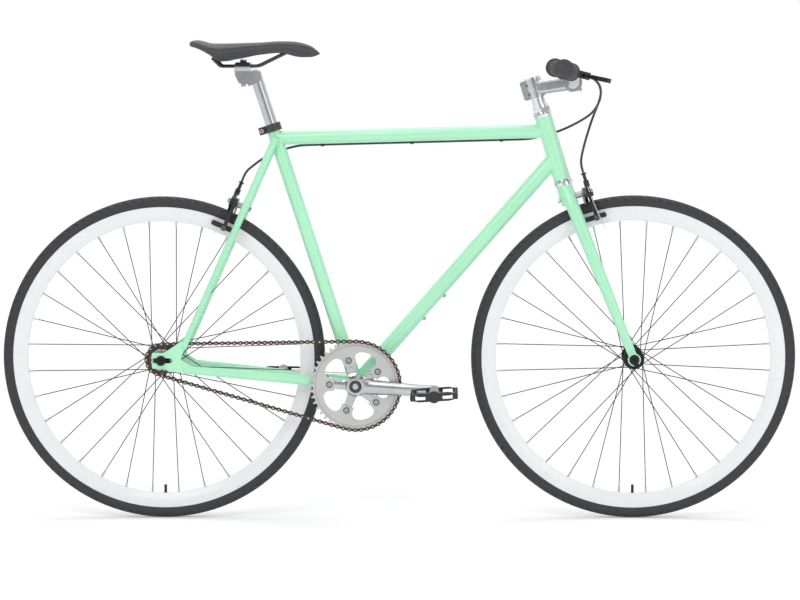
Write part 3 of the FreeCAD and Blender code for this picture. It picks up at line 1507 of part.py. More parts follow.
def stem_quill():
    """Quill in the steerer, with a collar on the locknut and a column that the stem clamps."""
    foot = steering.at(0, 0, quill_bottom)
    collar_low = steering.at(0, 0, steerer_top)
    collar_high = steering.at(0, 0, steerer_top + quill_cap_height)
    pieces = [rod(foot, collar_low, quill_diameter / 2.0),
              rod(collar_low, collar_high, quill_cap_diameter / 2.0)]
    pieces.append(rod(collar_high, steering.at(0, 0, stem_high), column_radius))
    pieces.append(rod(steering.at(0, 0, stem_high), steering.at(0, 0, stem_high + quill_cap_height / 2.0),
                      quill_cap_diameter / 2.0))
    return joined(pieces)


def faceplate_bolt_places():
    return [(side * bar_clamp_width * stem_bolt_share, rise * stem_bolt_rise)
            for side in (-1, 1) for rise in (-1, 1)]


def bar_clamp_block():
    half = across_y * (bar_clamp_width / 2.0)
    block = rod(bar_centre - half, bar_centre + half, bar_clamp_diameter / 2.0)
    bore = rod(bar_centre - half * 2.0, bar_centre + half * 2.0,
               bar_centre_diameter / 2.0 + slip_gap / 2.0)
    holes = []
    for out, rise in faceplate_bolt_places():
        start = stem.at(stem_length - bar_clamp_diameter / 4.0, out, rise)
        holes.append(rod(start, stem.at(stem_length + bar_clamp_diameter, out, rise),
                         stem_bolt_diameter / 2.0 + slip_gap))
        seat_face = stem.at(stem_length + bar_clamp_diameter * bolt_seat_share, out, rise)
        holes.append(rod(seat_face, stem.at(stem_length + bar_clamp_diameter, out, rise),
                         stem_bolt_head / 2.0 + slip_gap))
    return block, bore, Part.makeCompound(holes)


def front_half(start):
    """Block in front of a plane across the bar clamp."""
    far = stem_length + bar_clamp_diameter
    reach = bar_clamp_diameter
    return stem.plate([(start, -reach, 0), (far, -reach, 0), (far, reach, 0), (start, reach, 0)],
                      -bar_clamp_width, 2.0 * bar_clamp_width)


def stem_body():
    """Stem: a split steerer clamp, a tapered extension and the rear half of the bar clamp."""
    block, bar_bore, holes = bar_clamp_block()
    low = steering.at(0, 0, stem_low)
    high = steering.at(0, 0, stem_high)
    clamp_rod = rod(low, high, stem_clamp_diameter / 2.0)
    half_neck = stem_neck_width / 2.0
    half_height = stem_neck_height / 2.0
    root = stem.section(0, -half_neck, half_neck, -half_height, half_height, stem_corner)
    end = stem.section(stem_length, -half_neck, half_neck, -half_height, half_height, stem_corner)
    extension = Part.makeLoft([root, end], True, True)
    ear = -stem_clamp_diameter / 2.0 - stem_ear_reach
    half_ear = stem_ear_reach
    ears = steering.plate([(0, stem_low, 0), (ear, stem_low, stem_ear_reach / 2.0),
                           (ear, stem_high, stem_ear_reach / 2.0),
                           (0, stem_high, 0)], -half_ear, 2.0 * half_ear)
    slit = steering.plate([(0, stem_low - overrun, 0), (ear - overrun, stem_low - overrun, 0),
                           (ear - overrun, stem_high + overrun, 0), (0, stem_high + overrun, 0)],
                          -stem_slit / 2.0, stem_slit)
    bore = rod(steering.at(0, 0, stem_low - overrun), steering.at(0, 0, stem_high + overrun),
               column_radius + slip_gap / 2.0)
    pinch = [rod(steering.at(ahead, -half_ear * 2.0, height), steering.at(ahead, half_ear * 2.0, height),
                 stem_bolt_diameter / 2.0 + slip_gap) for ahead, height in pinch_bolt_places()]
    body = joined([clamp_rod, ears, extension, block]).cut(bore).cut(slit).cut(bar_bore)
    return body.cut(front_half(stem_length)).cut(holes).cut(Part.makeCompound(pinch))


def pinch_bolt_places():
    ahead = -stem_clamp_diameter / 2.0 - stem_ear_reach / 2.0
    quarter = stem_clamp_length / 4.0
    return [(ahead, stem_clamp_height - quarter), (ahead, stem_clamp_height + quarter)]


def stem_faceplate():
    """Front half of the bar clamp, drilled for four bolts."""
    block, bar_bore, holes = bar_clamp_block()
    return block.common(front_half(stem_length + faceplate_gap)).cut(bar_bore).cut(holes)


def stem_bolts():
    """Four faceplate bolts and two pinch bolts."""
    bolts = []
    for out, rise in faceplate_bolt_places():
        seat_face = stem_length + bar_clamp_diameter * bolt_seat_share
        shank = rod(stem.at(stem_length - bar_clamp_diameter / 4.0, out, rise),
                    stem.at(seat_face, out, rise),
                    stem_bolt_diameter / 2.0)
        head = rod(stem.at(seat_face, out, rise), stem.at(seat_face + stem_bolt_diameter, out, rise),
                   stem_bolt_head / 2.0)
        bolts.append(joined([shank, head]))
    for ahead, height in pinch_bolt_places():
        half = stem_ear_reach
        shank = rod(steering.at(ahead, -half, height), steering.at(ahead, half, height),
                    stem_bolt_diameter / 2.0)
        head = rod(steering.at(ahead, -half - stem_bolt_diameter, height),
                   steering.at(ahead, -half, height),
                   stem_bolt_head / 2.0)
        bolts.append(joined([shank, head]))
    return group(bolts)


def bar_points():
    """Corner points of the bar's centre line, from the right end to the left."""
    points = []
    for side in (-1, 1):
        flat = bar_centre + across_y * (side * bar_flat)
        bend = bar_centre + vec(0, side * bar_rise_end, bar_rise)
        end = bar_centre + vec(-bar_backsweep, side * bar_half_width, bar_rise + bar_upsweep)
        points += [end, bend, flat] if side < 0 else [flat, bend, end]
    return points


def handlebar():
    """Riser bar with a thicker centre for the stem."""
    tube = bent_tube(bar_points(), [bar_bend] * 4, bar_diameter / 2.0)
    half = across_y * (bar_centre_width / 2.0)
    pieces = [tube, rod(bar_centre - half, bar_centre + half, bar_centre_diameter / 2.0)]
    for side in (-1, 1):
        start = bar_centre + half * side
        pieces.append(cone(start, start + across_y * (side * bar_taper), bar_centre_diameter / 2.0,
                           bar_diameter / 2.0))
    return joined(pieces).cut(bent_tube(bar_points(), [bar_bend] * 4, bar_diameter / 2.0 - bar_wall))


def bar_end_run(side):
    points = bar_points()
    return (points[1], points[0]) if side < 0 else (points[-2], points[-1])


def grip(side):
    """Rubber grip with ribs, a broad end flange and a closed end."""
    start, end = bar_end_run(side)
    inward = unit(start - end)
    body = grip_diameter / 2.0
    flange = grip_flange_diameter / 2.0
    bore = bar_diameter / 2.0 + slip_gap / 2.0
    corners = [(0, 0, 0), (-grip_end, 0, 0), (-grip_end, flange, grip_end),
               (grip_flange, flange, grip_end)]
    pitch = (grip_length - 3.0 * grip_flange) / grip_ribs
    for index in range(grip_ribs):
        low = grip_flange + pitch * index
        corners += [(low + pitch / 4.0, body - grip_rib_height, 0), (low + pitch / 2.0, body, 0),
                    (low + pitch, body, 0)]
    corners += [(grip_length - grip_flange, body, 0),
                (grip_length - grip_flange, flange - grip_end, grip_end)]
    corners += [(grip_length, flange - grip_end, grip_end), (grip_length, bore, 0), (0, bore, 0)]
    return spin(corners, end, inward)


def grips():
    return group([grip(-1), grip(1)])


# Brake levers
def ribbon(points, half_widths):
    """Outline of a strip that follows a line of points with its own half width at each."""
    left = []
    right = []
    for index, ((ahead, out), half) in enumerate(zip(points, half_widths)):
        before = points[max(index - 1, 0)]
        after = points[min(index + 1, len(points) - 1)]
        length = math.hypot(after[0] - before[0], after[1] - before[1])
        normal = (-(after[1] - before[1]) / length, (after[0] - before[0]) / length)
        left.append((ahead + normal[0] * half, out + normal[1] * half))
        right.append((ahead - normal[0] * half, out - normal[1] * half))
    return left + right[::-1]


class LeverAxes(Axes):
    """Lever place on the bar: forward from the bar, outward along it, and up from both."""

    def __init__(self, side):
        start, end = bar_end_run(side)
        outward = unit(end - start)
        ahead = turn(lever_slope)
        forward = unit(ahead - outward * ahead.dot(outward))
        share = (lever_place - abs(start.y)) / (abs(end.y) - abs(start.y))
        Axes.__init__(self, start + (end - start) * share, forward, forward.cross(outward) * side)
        self.side = outward

    def flat(self, corners, low, thickness):
        """Plate with an outline of (forward, outward, corner radius) points, raised upward."""
        wire = rounded_wire([(self.at(ahead, out, low), bend) for ahead, out, bend in corners])
        return Part.Face(wire).extrude(self.up * thickness)


lever_axes = {side: LeverAxes(side) for side in (-1, 1)}
bracket_inner = lever_pivot_out - lever_bracket_length
adjuster_ahead = lever_pivot_ahead - lever_clamp_wall


def lever_end(side):
    """Inner end of a lever's adjuster, where the cable housing starts."""
    return lever_axes[side].at(adjuster_ahead, bracket_inner - adjuster_length, 0)


def lever_bracket(side):
    """Bar clamp with a forked body for the lever, a pivot pin and a cable adjuster."""
    axes = lever_axes[side]
    half_clamp = lever_clamp_width / 2.0
    half_body = lever_bracket_height / 2.0
    ring_radius = bar_diameter / 2.0 + lever_clamp_wall
    start = axes.at(0, -half_clamp, 0)
    end = axes.at(0, half_clamp, 0)
    ring = rod(start, end, ring_radius)
    reach = lever_pivot_ahead
    bend = lever_clamp_wall
    corners = [(0, -half_clamp, 0), (0, half_clamp, 0), (reach, lever_pivot_out + 2.0 * bend, bend)]
    corners += [(reach + 2.0 * bend, lever_pivot_out, bend), (reach + bend, bracket_inner, bend)]
    corners += [(reach - 3.0 * bend, bracket_inner, bend), (reach / 2.0, -half_clamp, bend)]
    body = axes.flat(corners, -half_body, lever_bracket_height)
    back = ring_radius + bend
    inside = bracket_inner + 2.0 * bend
    front = reach + lever_bracket_length
    outside = lever_pivot_out + lever_bracket_length
    slot = [(back, outside, 0), (back, inside, 0), (front, inside, 0), (front, outside, 0)]
    fork_slot = axes.flat(slot, -lever_fork_gap / 2.0, lever_fork_gap)
    adjuster_start = axes.at(adjuster_ahead, bracket_inner + bend, 0)
    collar_end = axes.at(adjuster_ahead, bracket_inner - adjuster_length / 2.0, 0)
    adjuster = [rod(adjuster_start, collar_end, adjuster_collar_diameter / 2.0),
                rod(adjuster_start, lever_end(side), adjuster_diameter / 2.0)]
    pin = rod(axes.at(reach, lever_pivot_out, -half_body), axes.at(reach, lever_pivot_out, half_body),
              lever_pivot_diameter / 2.0)
    past = axes.side * overrun
    bore = rod(start - past, end + past, bar_diameter / 2.0 + slip_gap / 2.0)
    housing = joined([ring, body]).cut(bore).cut(fork_slot)
    return joined([housing, pin] + adjuster)


def brake_lever_brackets():
    return group([lever_bracket(-1), lever_bracket(1)])


def brake_lever(side):
    """Short lever blade with a pivot eye and a round tip."""
    axes = lever_axes[side]
    half_root = lever_root_height / 2.0
    half_blade = lever_blade_height / 2.0
    pivot = (lever_pivot_ahead, lever_pivot_out)
    line = [(pivot[0] + ahead * lever_reach, pivot[1] + out * lever_length) for ahead,
            out in lever_line_shares]
    widths = [lever_blade_width * share for share in lever_width_shares]
    root = ribbon([pivot, line[0], line[1]], [widths[0], widths[0], widths[1]])
    blade = ribbon(line, widths)

    def post(place, half_height, radius):
        return rod(axes.at(place[0], place[1], -half_height), axes.at(place[0], place[1], half_height),
                   radius)

    pieces = [post(pivot, half_root, lever_eye_diameter / 2.0),
              post(line[-1], half_blade, lever_tip_diameter / 2.0)]
    for outline, half_height in ((root, half_root), (blade, half_blade)):
        pieces.append(axes.flat([(ahead, out, 0) for ahead, out in outline], -half_height,
                                2.0 * half_height))
    return joined(pieces).cut(post(pivot, lever_blade_height, lever_pivot_diameter / 2.0 + running_gap))


# Brake calipers
rim_face = rim_width / 2.0
pad_face = rim_face + pad_gap
holder_face = pad_face + pad_thickness
foot_face = holder_face + pad_holder
arm_foot = foot_face + arm_width / 2.0
barrel_top = cable_arm_rise + arm_width / 2.0 + barrel_length


def arm_layers(ahead):
    """Start of the rear and of the front arm, in front of the mounting point."""
    return ahead, ahead + arm_thickness + arm_gap


def caliper_arm(axes, start, side, branch):
    """Curved arm from the pivot boss to the pad, with a branch towards the cable."""
    foot = side * arm_foot
    lower = [(0, 0), (foot * arm_knee_share, -arm_shoulder), (foot, -arm_reach * arm_bend_share)]
    lower += [(foot, -arm_reach - arm_width / 2.0)]
    shapes = [rod(axes.at(start, 0, 0), axes.at(start + arm_thickness, 0, 0), arm_boss_diameter / 2.0)]
    for line, shares in ((lower, arm_width_shares), (branch, branch_width_shares)):
        strip = ribbon(line, [arm_width * share for share in shares])
        shapes.append(axes.front_plate([(out, rise, 0) for out, rise in strip], start, arm_thickness))
    middle = start + arm_thickness / 2.0
    pivot_bore = rod(axes.at(start - overrun, 0, 0), axes.at(start + arm_thickness + overrun, 0, 0),
                     brake_bolt_diameter / 2.0 + running_gap)
    pad_bore = rod(axes.at(middle, 0, -arm_reach), axes.at(middle, 2.0 * foot, -arm_reach),
                   pad_bolt_diameter / 2.0 + slip_gap)
    return joined(shapes).cut(pivot_bore).cut(pad_bore)


def pad_set(axes, start, side, centre):
    """Rubber block, its metal holder and the bolt that holds it to the arm."""
    def slab(length, height, bend, face, thickness):
        low = -arm_reach - height / 2.0
        high = -arm_reach + height / 2.0
        back = centre - length / 2.0
        front = centre + length / 2.0
        corners = [(back, low, bend), (front, low, bend), (front, high, bend), (back, high, bend)]
        return axes.plate(corners, min(side * face, side * (face + thickness)), thickness)

    block = slab(pad_length, pad_height, pad_corner, pad_face, pad_thickness)
    plate = slab(pad_holder_length, pad_holder_height, pad_corner / 2.0, holder_face, pad_holder)
    middle = start + arm_thickness / 2.0
    outer = axes.at(middle, side * (foot_face + arm_width), -arm_reach)
    bolt = rod(axes.at(middle, side * foot_face, -arm_reach), outer, pad_bolt_diameter / 2.0)
    head = hexagon(outer, axes.side * side, pad_bolt_head, pad_bolt_head_height)
    return [block, plate, joined([bolt, head])]


def housing_arm(axes, ahead):
    """Front arm with its pad on the cable's side and a barrel adjuster for the cable housing."""
    start = arm_layers(ahead)[1]
    middle = start + arm_thickness / 2.0

    def cable_rod(low, high, diameter):
        return rod(axes.at(middle, -cable_side, low), axes.at(middle, -cable_side, high), diameter / 2.0)

    branch = [(0, 0), (-cable_side * branch_share, cable_arm_rise * branch_share),
              (-cable_side, cable_arm_rise)]
    arm = caliper_arm(axes, start, -1, branch)
    stop = cable_rod(cable_arm_rise - arm_width / 2.0, cable_arm_rise + arm_width / 2.0,
                     cable_stop_diameter)
    barrel = cable_rod(cable_arm_rise, barrel_top, barrel_diameter)
    flange = cable_rod(barrel_top - 2.0 * barrel_flange, barrel_top - barrel_flange,
                       barrel_flange_diameter)
    wire_hole = cable_rod(0, barrel_top + overrun, inner_wire_diameter + 2.0 * running_gap)
    body = joined([arm, stop, barrel, flange]).cut(wire_hole)
    return group([body] + pad_set(axes, start, -1, arm_layers(ahead)[1]))


def anchor_arm(axes, ahead):
    """Rear arm with its pad on the far side and the bolt that holds the inner wire."""
    start = arm_layers(ahead)[0]
    wire_plane = arm_layers(ahead)[1] + arm_thickness / 2.0
    front = wire_plane + anchor_bolt_diameter / 2.0
    branch = [(0, 0), (-cable_side * branch_share, anchor_arm_drop), (-cable_side, -anchor_arm_drop)]
    arm = caliper_arm(axes, start, 1, branch)
    post = rod(axes.at(start, -cable_side, -anchor_arm_drop),
               axes.at(front, -cable_side, -anchor_arm_drop),
               anchor_bolt_diameter / 2.0)
    nut = hexagon(axes.at(front, -cable_side, -anchor_arm_drop), axes.forward, anchor_nut,
                  anchor_nut_height)
    wire_hole = rod(axes.at(wire_plane, -cable_side, -arm_reach),
                    axes.at(wire_plane, -cable_side, arm_reach),
                    inner_wire_diameter / 2.0 + running_gap)
    return group([joined([arm, post, nut]).cut(wire_hole)] + pad_set(axes, start, 1,
                                                                     arm_layers(ahead)[1]))


def caliper_bracket(axes, ahead, mount_radius, mount):
    """Centre bolt with its spacer, nuts and return spring."""
    front = arm_layers(ahead)[1] + arm_thickness
    back = -mount_radius - brake_bolt_nut_height
    bolt = rod(axes.at(back, 0, 0), axes.at(front + running_gap + caliper_nut_height, 0, 0),
               brake_bolt_diameter / 2.0)
    nut = hexagon(axes.at(front + running_gap, 0, 0), axes.forward, brake_bolt_nut, caliper_nut_height)
    back_nut = hexagon(axes.at(back, 0, 0), axes.forward, brake_bolt_nut,
                       brake_bolt_nut_height - running_gap)
    spacer = rod(axes.at(0, 0, 0), axes.at(ahead - running_gap, 0, 0), brake_spacer_diameter / 2.0)
    spacer = spacer.cut(rod(mount[0], mount[1], mount_radius + slip_gap / 2.0))
    foot = arm_foot * arm_knee_share
    drop = -arm_reach * spring_foot_share
    line = [(-foot, drop), (-spring_half_width, spring_rise), (spring_half_width, spring_rise),
            (foot, drop)]
    spring = bent_tube([axes.at(ahead - spring_wire, out, rise) for out, rise in line],
                       [spring_rise] * 2, spring_wire / 2.0)
    return joined([bolt, nut, back_nut, max(spacer.Solids, key=lambda solid: solid.Volume), spring])


crown_mount = (steering.at(0, 0, crown_bottom), steering.at(0, 0, crown_top))
bridge_mount = (bridge_centre - across_y * dropout_plane, bridge_centre + across_y * dropout_plane)


# Cables
def held_place(share):
    """Place under the top tube along which the rear brake cable is held."""
    along = unit(top_tube_end - top_tube_start)
    lean = math.radians(clip_lean)
    down = across_y * math.sin(lean) + along.cross(across_y) * (-math.cos(lean))
    offset = top_tube_diameter / 2.0 + housing_diameter / 2.0 + clip_seat
    return Axes(top_tube_start + (top_tube_end - top_tube_start) * share + down * offset, along, -down)


def cable_clips():
    """Bands that hold the cable housing under the top tube."""
    clips = []
    top_rod = rod(top_tube_start, top_tube_end, top_tube_diameter / 2.0 + slip_gap / 2.0)
    for share in clip_place_shares:
        axes = held_place(share)
        half = axes.forward * (clip_width / 2.0)
        band = rod(axes.origin - half, axes.origin + half, housing_diameter / 2.0 + clip_thickness)
        foot = axes.front_plate([(-clip_foot, 0, 0), (clip_foot, 0, 0), (clip_foot, clip_foot, 0),
                                 (-clip_foot, clip_foot, 0)], -clip_width / 2.0, clip_width)
        bore = rod(axes.origin - half * 2.0, axes.origin + half * 2.0, housing_diameter / 2.0 + slip_gap)
        clips.append(joined([band, foot]).cut(bore).cut(top_rod))
    return group(clips)


def cable(side, points, axes, ahead):
    """Cable housing from a lever to a caliper, and the bare wire from the barrel past its anchor."""
    plane = arm_layers(ahead)[1] + arm_thickness / 2.0
    exit_place = lever_end(side)
    lead = exit_place - lever_axes[side].side * cable_lead
    route = [exit_place, lead] + points + [axes.at(plane, -cable_side, barrel_top + 2.0 * running_gap)]
    bends = widest_bends(route, cable_bend_share)
    print("cable bend radii", [round(bend) for bend in bends])
    anchor = axes.at(plane, -cable_side, -cable_anchor_drop)
    tail = axes.at(plane + cable_tail_ahead, -cable_side - cable_tail_side,
                   -cable_anchor_drop - cable_tail_drop)
    wire_route = [axes.at(plane, -cable_side, cable_arm_rise), anchor, tail]
    wire = bent_tube(wire_route, [cable_anchor_drop], inner_wire_diameter / 2.0)
    return group([bent_tube(route, bends, housing_diameter / 2.0), wire])


def front_brake_cable():
    return cable(1, [vec(*point) for point in front_cable_points], front_brake, front_arm_ahead)


def rear_brake_cable():
    points = [vec(*point) for point in rear_cable_front_points]
    points += [held_place(share).origin for share in cable_straight_shares]
    points += [vec(*point) for point in rear_cable_rear_points]
    return cable(-1, points, rear_brake, rear_arm_ahead)


def build():
    """Every piece of the bicycle under its name."""
    front_wires, front_nipples = spokes(front_axle_centre, front_flange_diameter)
    rear_wires, rear_nipples = spokes(rear_axle_centre, rear_flange_diameter)
    front_shaft, front_nuts = axle(front_axle_centre, front_locknut_width, fork_tip_thickness)
    rear_shaft, rear_nuts = axle(rear_axle_centre, rear_locknut_width, dropout_thickness)
    return {
        "head_tube": head_tube(), "top_tube": top_tube(), "down_tube": down_tube(),
        "seat_tube": seat_tube(),
        "bottom_bracket_shell": bottom_bracket_shell(), "bottom_bracket_cups": bottom_bracket_cups(),
        "chain_stays": chain_stays(), "seat_stays": seat_stays(),
        "rear_dropouts": group([dropout(-1), dropout(1)]),
        "headset_cups": headset_cups(), "bottle_screws": bottle_screws(), "cable_clips": cable_clips(),
        "seat_collar": seat_collar(), "rear_axle": group([rear_shaft, rear_nuts]), "chain": chain(),
        "rear_brake_bracket": caliper_bracket(rear_brake, rear_arm_ahead, brake_bridge_diameter / 2.0,
                                              bridge_mount),
        "rear_brake_housing_arm": housing_arm(rear_brake, rear_arm_ahead),
        "rear_brake_anchor_arm": anchor_arm(rear_brake, rear_arm_ahead),
        "rear_brake_cable": rear_brake_cable(),
        "fork": group([fork(), fork_tip(-1), fork_tip(1)]), "steerer": steerer(),
        "headset_races": headset_races(), "front_axle": group([front_shaft, front_nuts]),
        "stem_quill": stem_quill(), "stem_body": stem_body(), "stem_faceplate": stem_faceplate(),
        "stem_bolts": stem_bolts(), "handlebar": handlebar(), "grips": grips(),
        "brake_lever_brackets": brake_lever_brackets(), "right_brake_lever": brake_lever(-1),
        "left_brake_lever": brake_lever(1),
        "front_brake_bracket": caliper_bracket(front_brake, front_arm_ahead, crown_diameter / 2.0,
                                               crown_mount),
        "front_brake_housing_arm": housing_arm(front_brake, front_arm_ahead),
        "front_brake_anchor_arm": anchor_arm(front_brake, front_arm_ahead),
        "front_brake_cable": front_brake_cable(),
        "front_tyre": tyre(front_axle_centre), "front_inner_tube": inner_tube(front_axle_centre),
        "front_rim": rim(front_axle_centre), "front_spokes": front_wires, "front_nipples": front_nipples,
        "front_hub": hub(front_axle_centre, front_flange_diameter, hub_end_diameter, front_locknut_width),
        "rear_tyre": tyre(rear_axle_centre), "rear_inner_tube": inner_tube(rear_axle_centre),
        "rear_rim": rim(rear_axle_centre), "rear_spokes": rear_wires, "rear_nipples": rear_nipples,
        "rear_hub": hub(rear_axle_centre, rear_flange_diameter, cog_bore_diameter, rear_locknut_width),
        "cog": group([cog(), cog_lockring()]), "chainring": chainring(),
        "chainring_bolts": group([chainring_bolts(), crank_bolts()]),
        "right_crank": right_crank(), "left_crank": left_crank(), "crank_spindle": crank_spindle(),
        "pedal_spindles": pedal_spindles(), "right_pedal": pedal(-1), "left_pedal": pedal(1),
        "seatpost": group([seatpost(), seatpost_clamp()]),
        "saddle_rails": group([saddle_rail(-1), saddle_rail(1)]), "saddle": saddle(),
    }


if __name__ == "__main__":
    os.makedirs("parts", exist_ok=True)
    for name, shape in build().items():
        shape.exportStep("parts/" + name + ".step")
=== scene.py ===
import json
import math

import bpy
import numpy as np
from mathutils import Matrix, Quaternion, Vector


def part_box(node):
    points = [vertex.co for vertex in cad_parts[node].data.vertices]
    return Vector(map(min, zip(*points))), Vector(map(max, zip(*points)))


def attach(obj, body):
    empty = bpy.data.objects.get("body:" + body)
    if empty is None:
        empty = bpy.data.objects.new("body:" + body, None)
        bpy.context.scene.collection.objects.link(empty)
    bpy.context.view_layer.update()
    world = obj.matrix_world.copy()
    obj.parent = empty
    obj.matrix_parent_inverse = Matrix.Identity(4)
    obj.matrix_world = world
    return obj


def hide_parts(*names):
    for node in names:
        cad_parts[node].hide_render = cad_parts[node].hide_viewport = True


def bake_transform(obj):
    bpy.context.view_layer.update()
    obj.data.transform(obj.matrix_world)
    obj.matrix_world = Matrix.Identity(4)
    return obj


bl_info = {
    "name": "Fixed gear bicycle",
    "version": (1, 0, 0),
    "blender": (4, 5, 0),
    "location": "View3D > Sidebar > Bicycle",
    "description": "Dresses the bicycle's frame model with its surfaces, soft pieces and stage",
    "category": "Object",
}

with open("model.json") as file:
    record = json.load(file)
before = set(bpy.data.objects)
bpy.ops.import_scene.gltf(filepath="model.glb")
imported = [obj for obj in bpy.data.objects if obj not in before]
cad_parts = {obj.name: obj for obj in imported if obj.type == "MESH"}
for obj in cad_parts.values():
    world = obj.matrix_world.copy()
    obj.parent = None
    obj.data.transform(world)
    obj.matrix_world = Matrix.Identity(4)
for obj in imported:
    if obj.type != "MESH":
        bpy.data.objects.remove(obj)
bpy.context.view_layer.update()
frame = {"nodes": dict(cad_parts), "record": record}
NODES = frame["nodes"]
RECORD = frame["record"]
SLOT_OF = {part["node"]: part["material_slot"] for part in RECORD["subparts"]}
JOINTS = {joint["name"]: joint for joint in RECORD["behaviour"]["joints"]}


def linear(red, green, blue):
    """Linear colour of an 8-bit display colour."""
    values = np.array((red, green, blue)) / 255.0
    return tuple(np.where(values <= 0.04045, values / 12.92, ((values + 0.055) / 1.055) ** 2.4))


def pivot(name):
    return np.array(JOINTS[name]["pos_m"])


def direction(name):
    return np.array(JOINTS[name]["axis"])


def box_size(node):
    low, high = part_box(node)
    return np.array(high) - np.array(low)


# Shader values


class Value:
    """A number of a shader, kept as a node socket, that takes part in sums."""

    def __init__(self, canvas, socket):
        self.canvas = canvas
        self.socket = socket

    def math(self, operation, *others):
        return self.canvas.math(operation, self, *others)

    def __add__(self, other):
        return self.math("ADD", other)

    def __sub__(self, other):
        return self.math("SUBTRACT", other)

    def __rsub__(self, other):
        return self.canvas.math("SUBTRACT", other, self)

    def __mul__(self, other):
        return self.math("MULTIPLY", other)

    def __truediv__(self, other):
        return self.math("DIVIDE", other)

    def __abs__(self):
        return self.math("ABSOLUTE")

    def sin(self):
        return self.math("SINE")

    def root(self):
        return self.math("SQRT")

    def above(self, low, high):
        """Smooth step that is 0 under low and 1 over high."""
        node = self.canvas.node("ShaderNodeMapRange")
        node.interpolation_type = "SMOOTHSTEP"
        node.inputs["From Min"].default_value = low
        node.inputs["From Max"].default_value = high
        self.canvas.link(self, node.inputs["Value"])
        return Value(self.canvas, node.outputs["Result"])

    def within(self, low, high, edge):
        """1 between low and high, and 0 an edge outside them."""
        return self.above(low - edge, low) * (1.0 - self.above(high, high + edge))

    __radd__ = __add__
    __rmul__ = __mul__


class Canvas:
    """A node tree with short calls for the shader nodes that the materials use."""

    def __init__(self, tree, coordinates="Object"):
        self.tree = tree
        self.place = self.node("ShaderNodeTexCoord").outputs[coordinates]
        split = self.node("ShaderNodeSeparateXYZ")
        tree.links.new(self.place, split.inputs[0])
        self.x, self.y, self.z = (Value(self, output) for output in split.outputs)

    def node(self, kind):
        return self.tree.nodes.new(kind)

    def link(self, value, socket):
        if isinstance(value, Value):
            self.tree.links.new(value.socket, socket)
        elif isinstance(value, bpy.types.NodeSocket):
            self.tree.links.new(value, socket)
        elif isinstance(value, tuple):
            socket.default_value = (*value, 1.0)
        else:
            socket.default_value = value

    def math(self, operation, *values):
        node = self.node("ShaderNodeMath")
        node.operation = operation
        for value, socket in zip(values, node.inputs):
            self.link(value, socket)
        return Value(self, node.outputs[0])

    def noise(self, scale, detail=2.0):
        node = self.node("ShaderNodeTexNoise")
        self.tree.links.new(self.place, node.inputs["Vector"])
        node.inputs["Scale"].default_value = scale
        node.inputs["Detail"].default_value = detail
        return Value(self, node.outputs["Fac"])

    def cells(self, scale):
        node = self.node("ShaderNodeTexVoronoi")
        self.tree.links.new(self.place, node.inputs["Vector"])
        node.inputs["Scale"].default_value = scale
        return Value(self, node.outputs["Distance"])

    def rays(self, *kinds):
        """1 for a ray of one of the kinds, such as the camera's rays or reflections."""
        path = self.node("ShaderNodeLightPath")
        total = Value(self, path.outputs[kinds[0]])
        for kind in kinds[1:]:
            total = total.math("MAXIMUM", Value(self, path.outputs[kind]))
        return total

    def attribute(self, name):
        node = self.node("ShaderNodeAttribute")
        node.attribute_name = name
        return Value(self, node.outputs["Fac"])

    def along(self, origin, axis):
        """Distance of a point from an origin, along an axis."""
        start = float(np.dot(origin, axis))
        return self.x * float(axis[0]) + self.y * float(axis[1]) + self.z * float(axis[2]) - start

    def from_axle(self, origin):
        """Distance of a point from an axle that lies along Y."""
        ahead = self.x - float(origin[0])
        rise = self.z - float(origin[2])
        return (ahead * ahead + rise * rise).root()

    def from_point(self, origin):
        """Distance of a point from an origin."""
        steps = [axis - float(start) for axis, start in zip((self.x, self.y, self.z), origin)]
        return (steps[0] * steps[0] + steps[1] * steps[1] + steps[2] * steps[2]).root()

    def mix(self, factor, first, second):
        """Colour between two colours."""
        node = self.node("ShaderNodeMix")
        node.data_type = "RGBA"
        self.link(factor, node.inputs[0])
        self.link(first, node.inputs[6])
        self.link(second, node.inputs[7])
        return node.outputs[2]


def surface(name, paint):
    """Material whose paint function gives colour and roughness and, where it has them, metallic, coat, specular,
    glow, and relief with its height in metres."""
    material = bpy.data.materials.new(name)
    material.use_nodes = True
    tree = material.node_tree
    shader = tree.nodes["Principled BSDF"]
    canvas = Canvas(tree)
    look = paint(canvas)
    canvas.link(look["colour"], shader.inputs["Base Color"])
    canvas.link(look["roughness"], shader.inputs["Roughness"])
    canvas.link(look.get("metallic", 0.0), shader.inputs["Metallic"])
    canvas.link(look.get("coat", 0.0), shader.inputs["Coat Weight"])
    shader.inputs["Coat Roughness"].default_value = look.get("coat_roughness", 0.05)
    shader.inputs["Specular IOR Level"].default_value = look.get("specular", 0.5)
    if "glow" in look:
        canvas.link(look["glow"], shader.inputs["Emission Color"])
        shader.inputs["Emission Strength"].default_value = 1.0
    if "relief" in look:
        bump = canvas.node("ShaderNodeBump")
        bump.inputs["Distance"].default_value = look["height"]
        canvas.link(look["relief"], bump.inputs["Height"])
        tree.links.new(bump.outputs[0], shader.inputs["Normal"])
    return material


def dressed(colour, share):
    """A darker or lighter version of a colour."""
    return tuple(min(1.0, channel * share) for channel in colour)


# Materials


def near(axle, radius, edge):
    """Mask that is 1 within a radius of an axle along Y, and 0 an edge outside it."""
    return lambda c: 1.0 - c.from_axle(axle).above(radius, radius + edge)


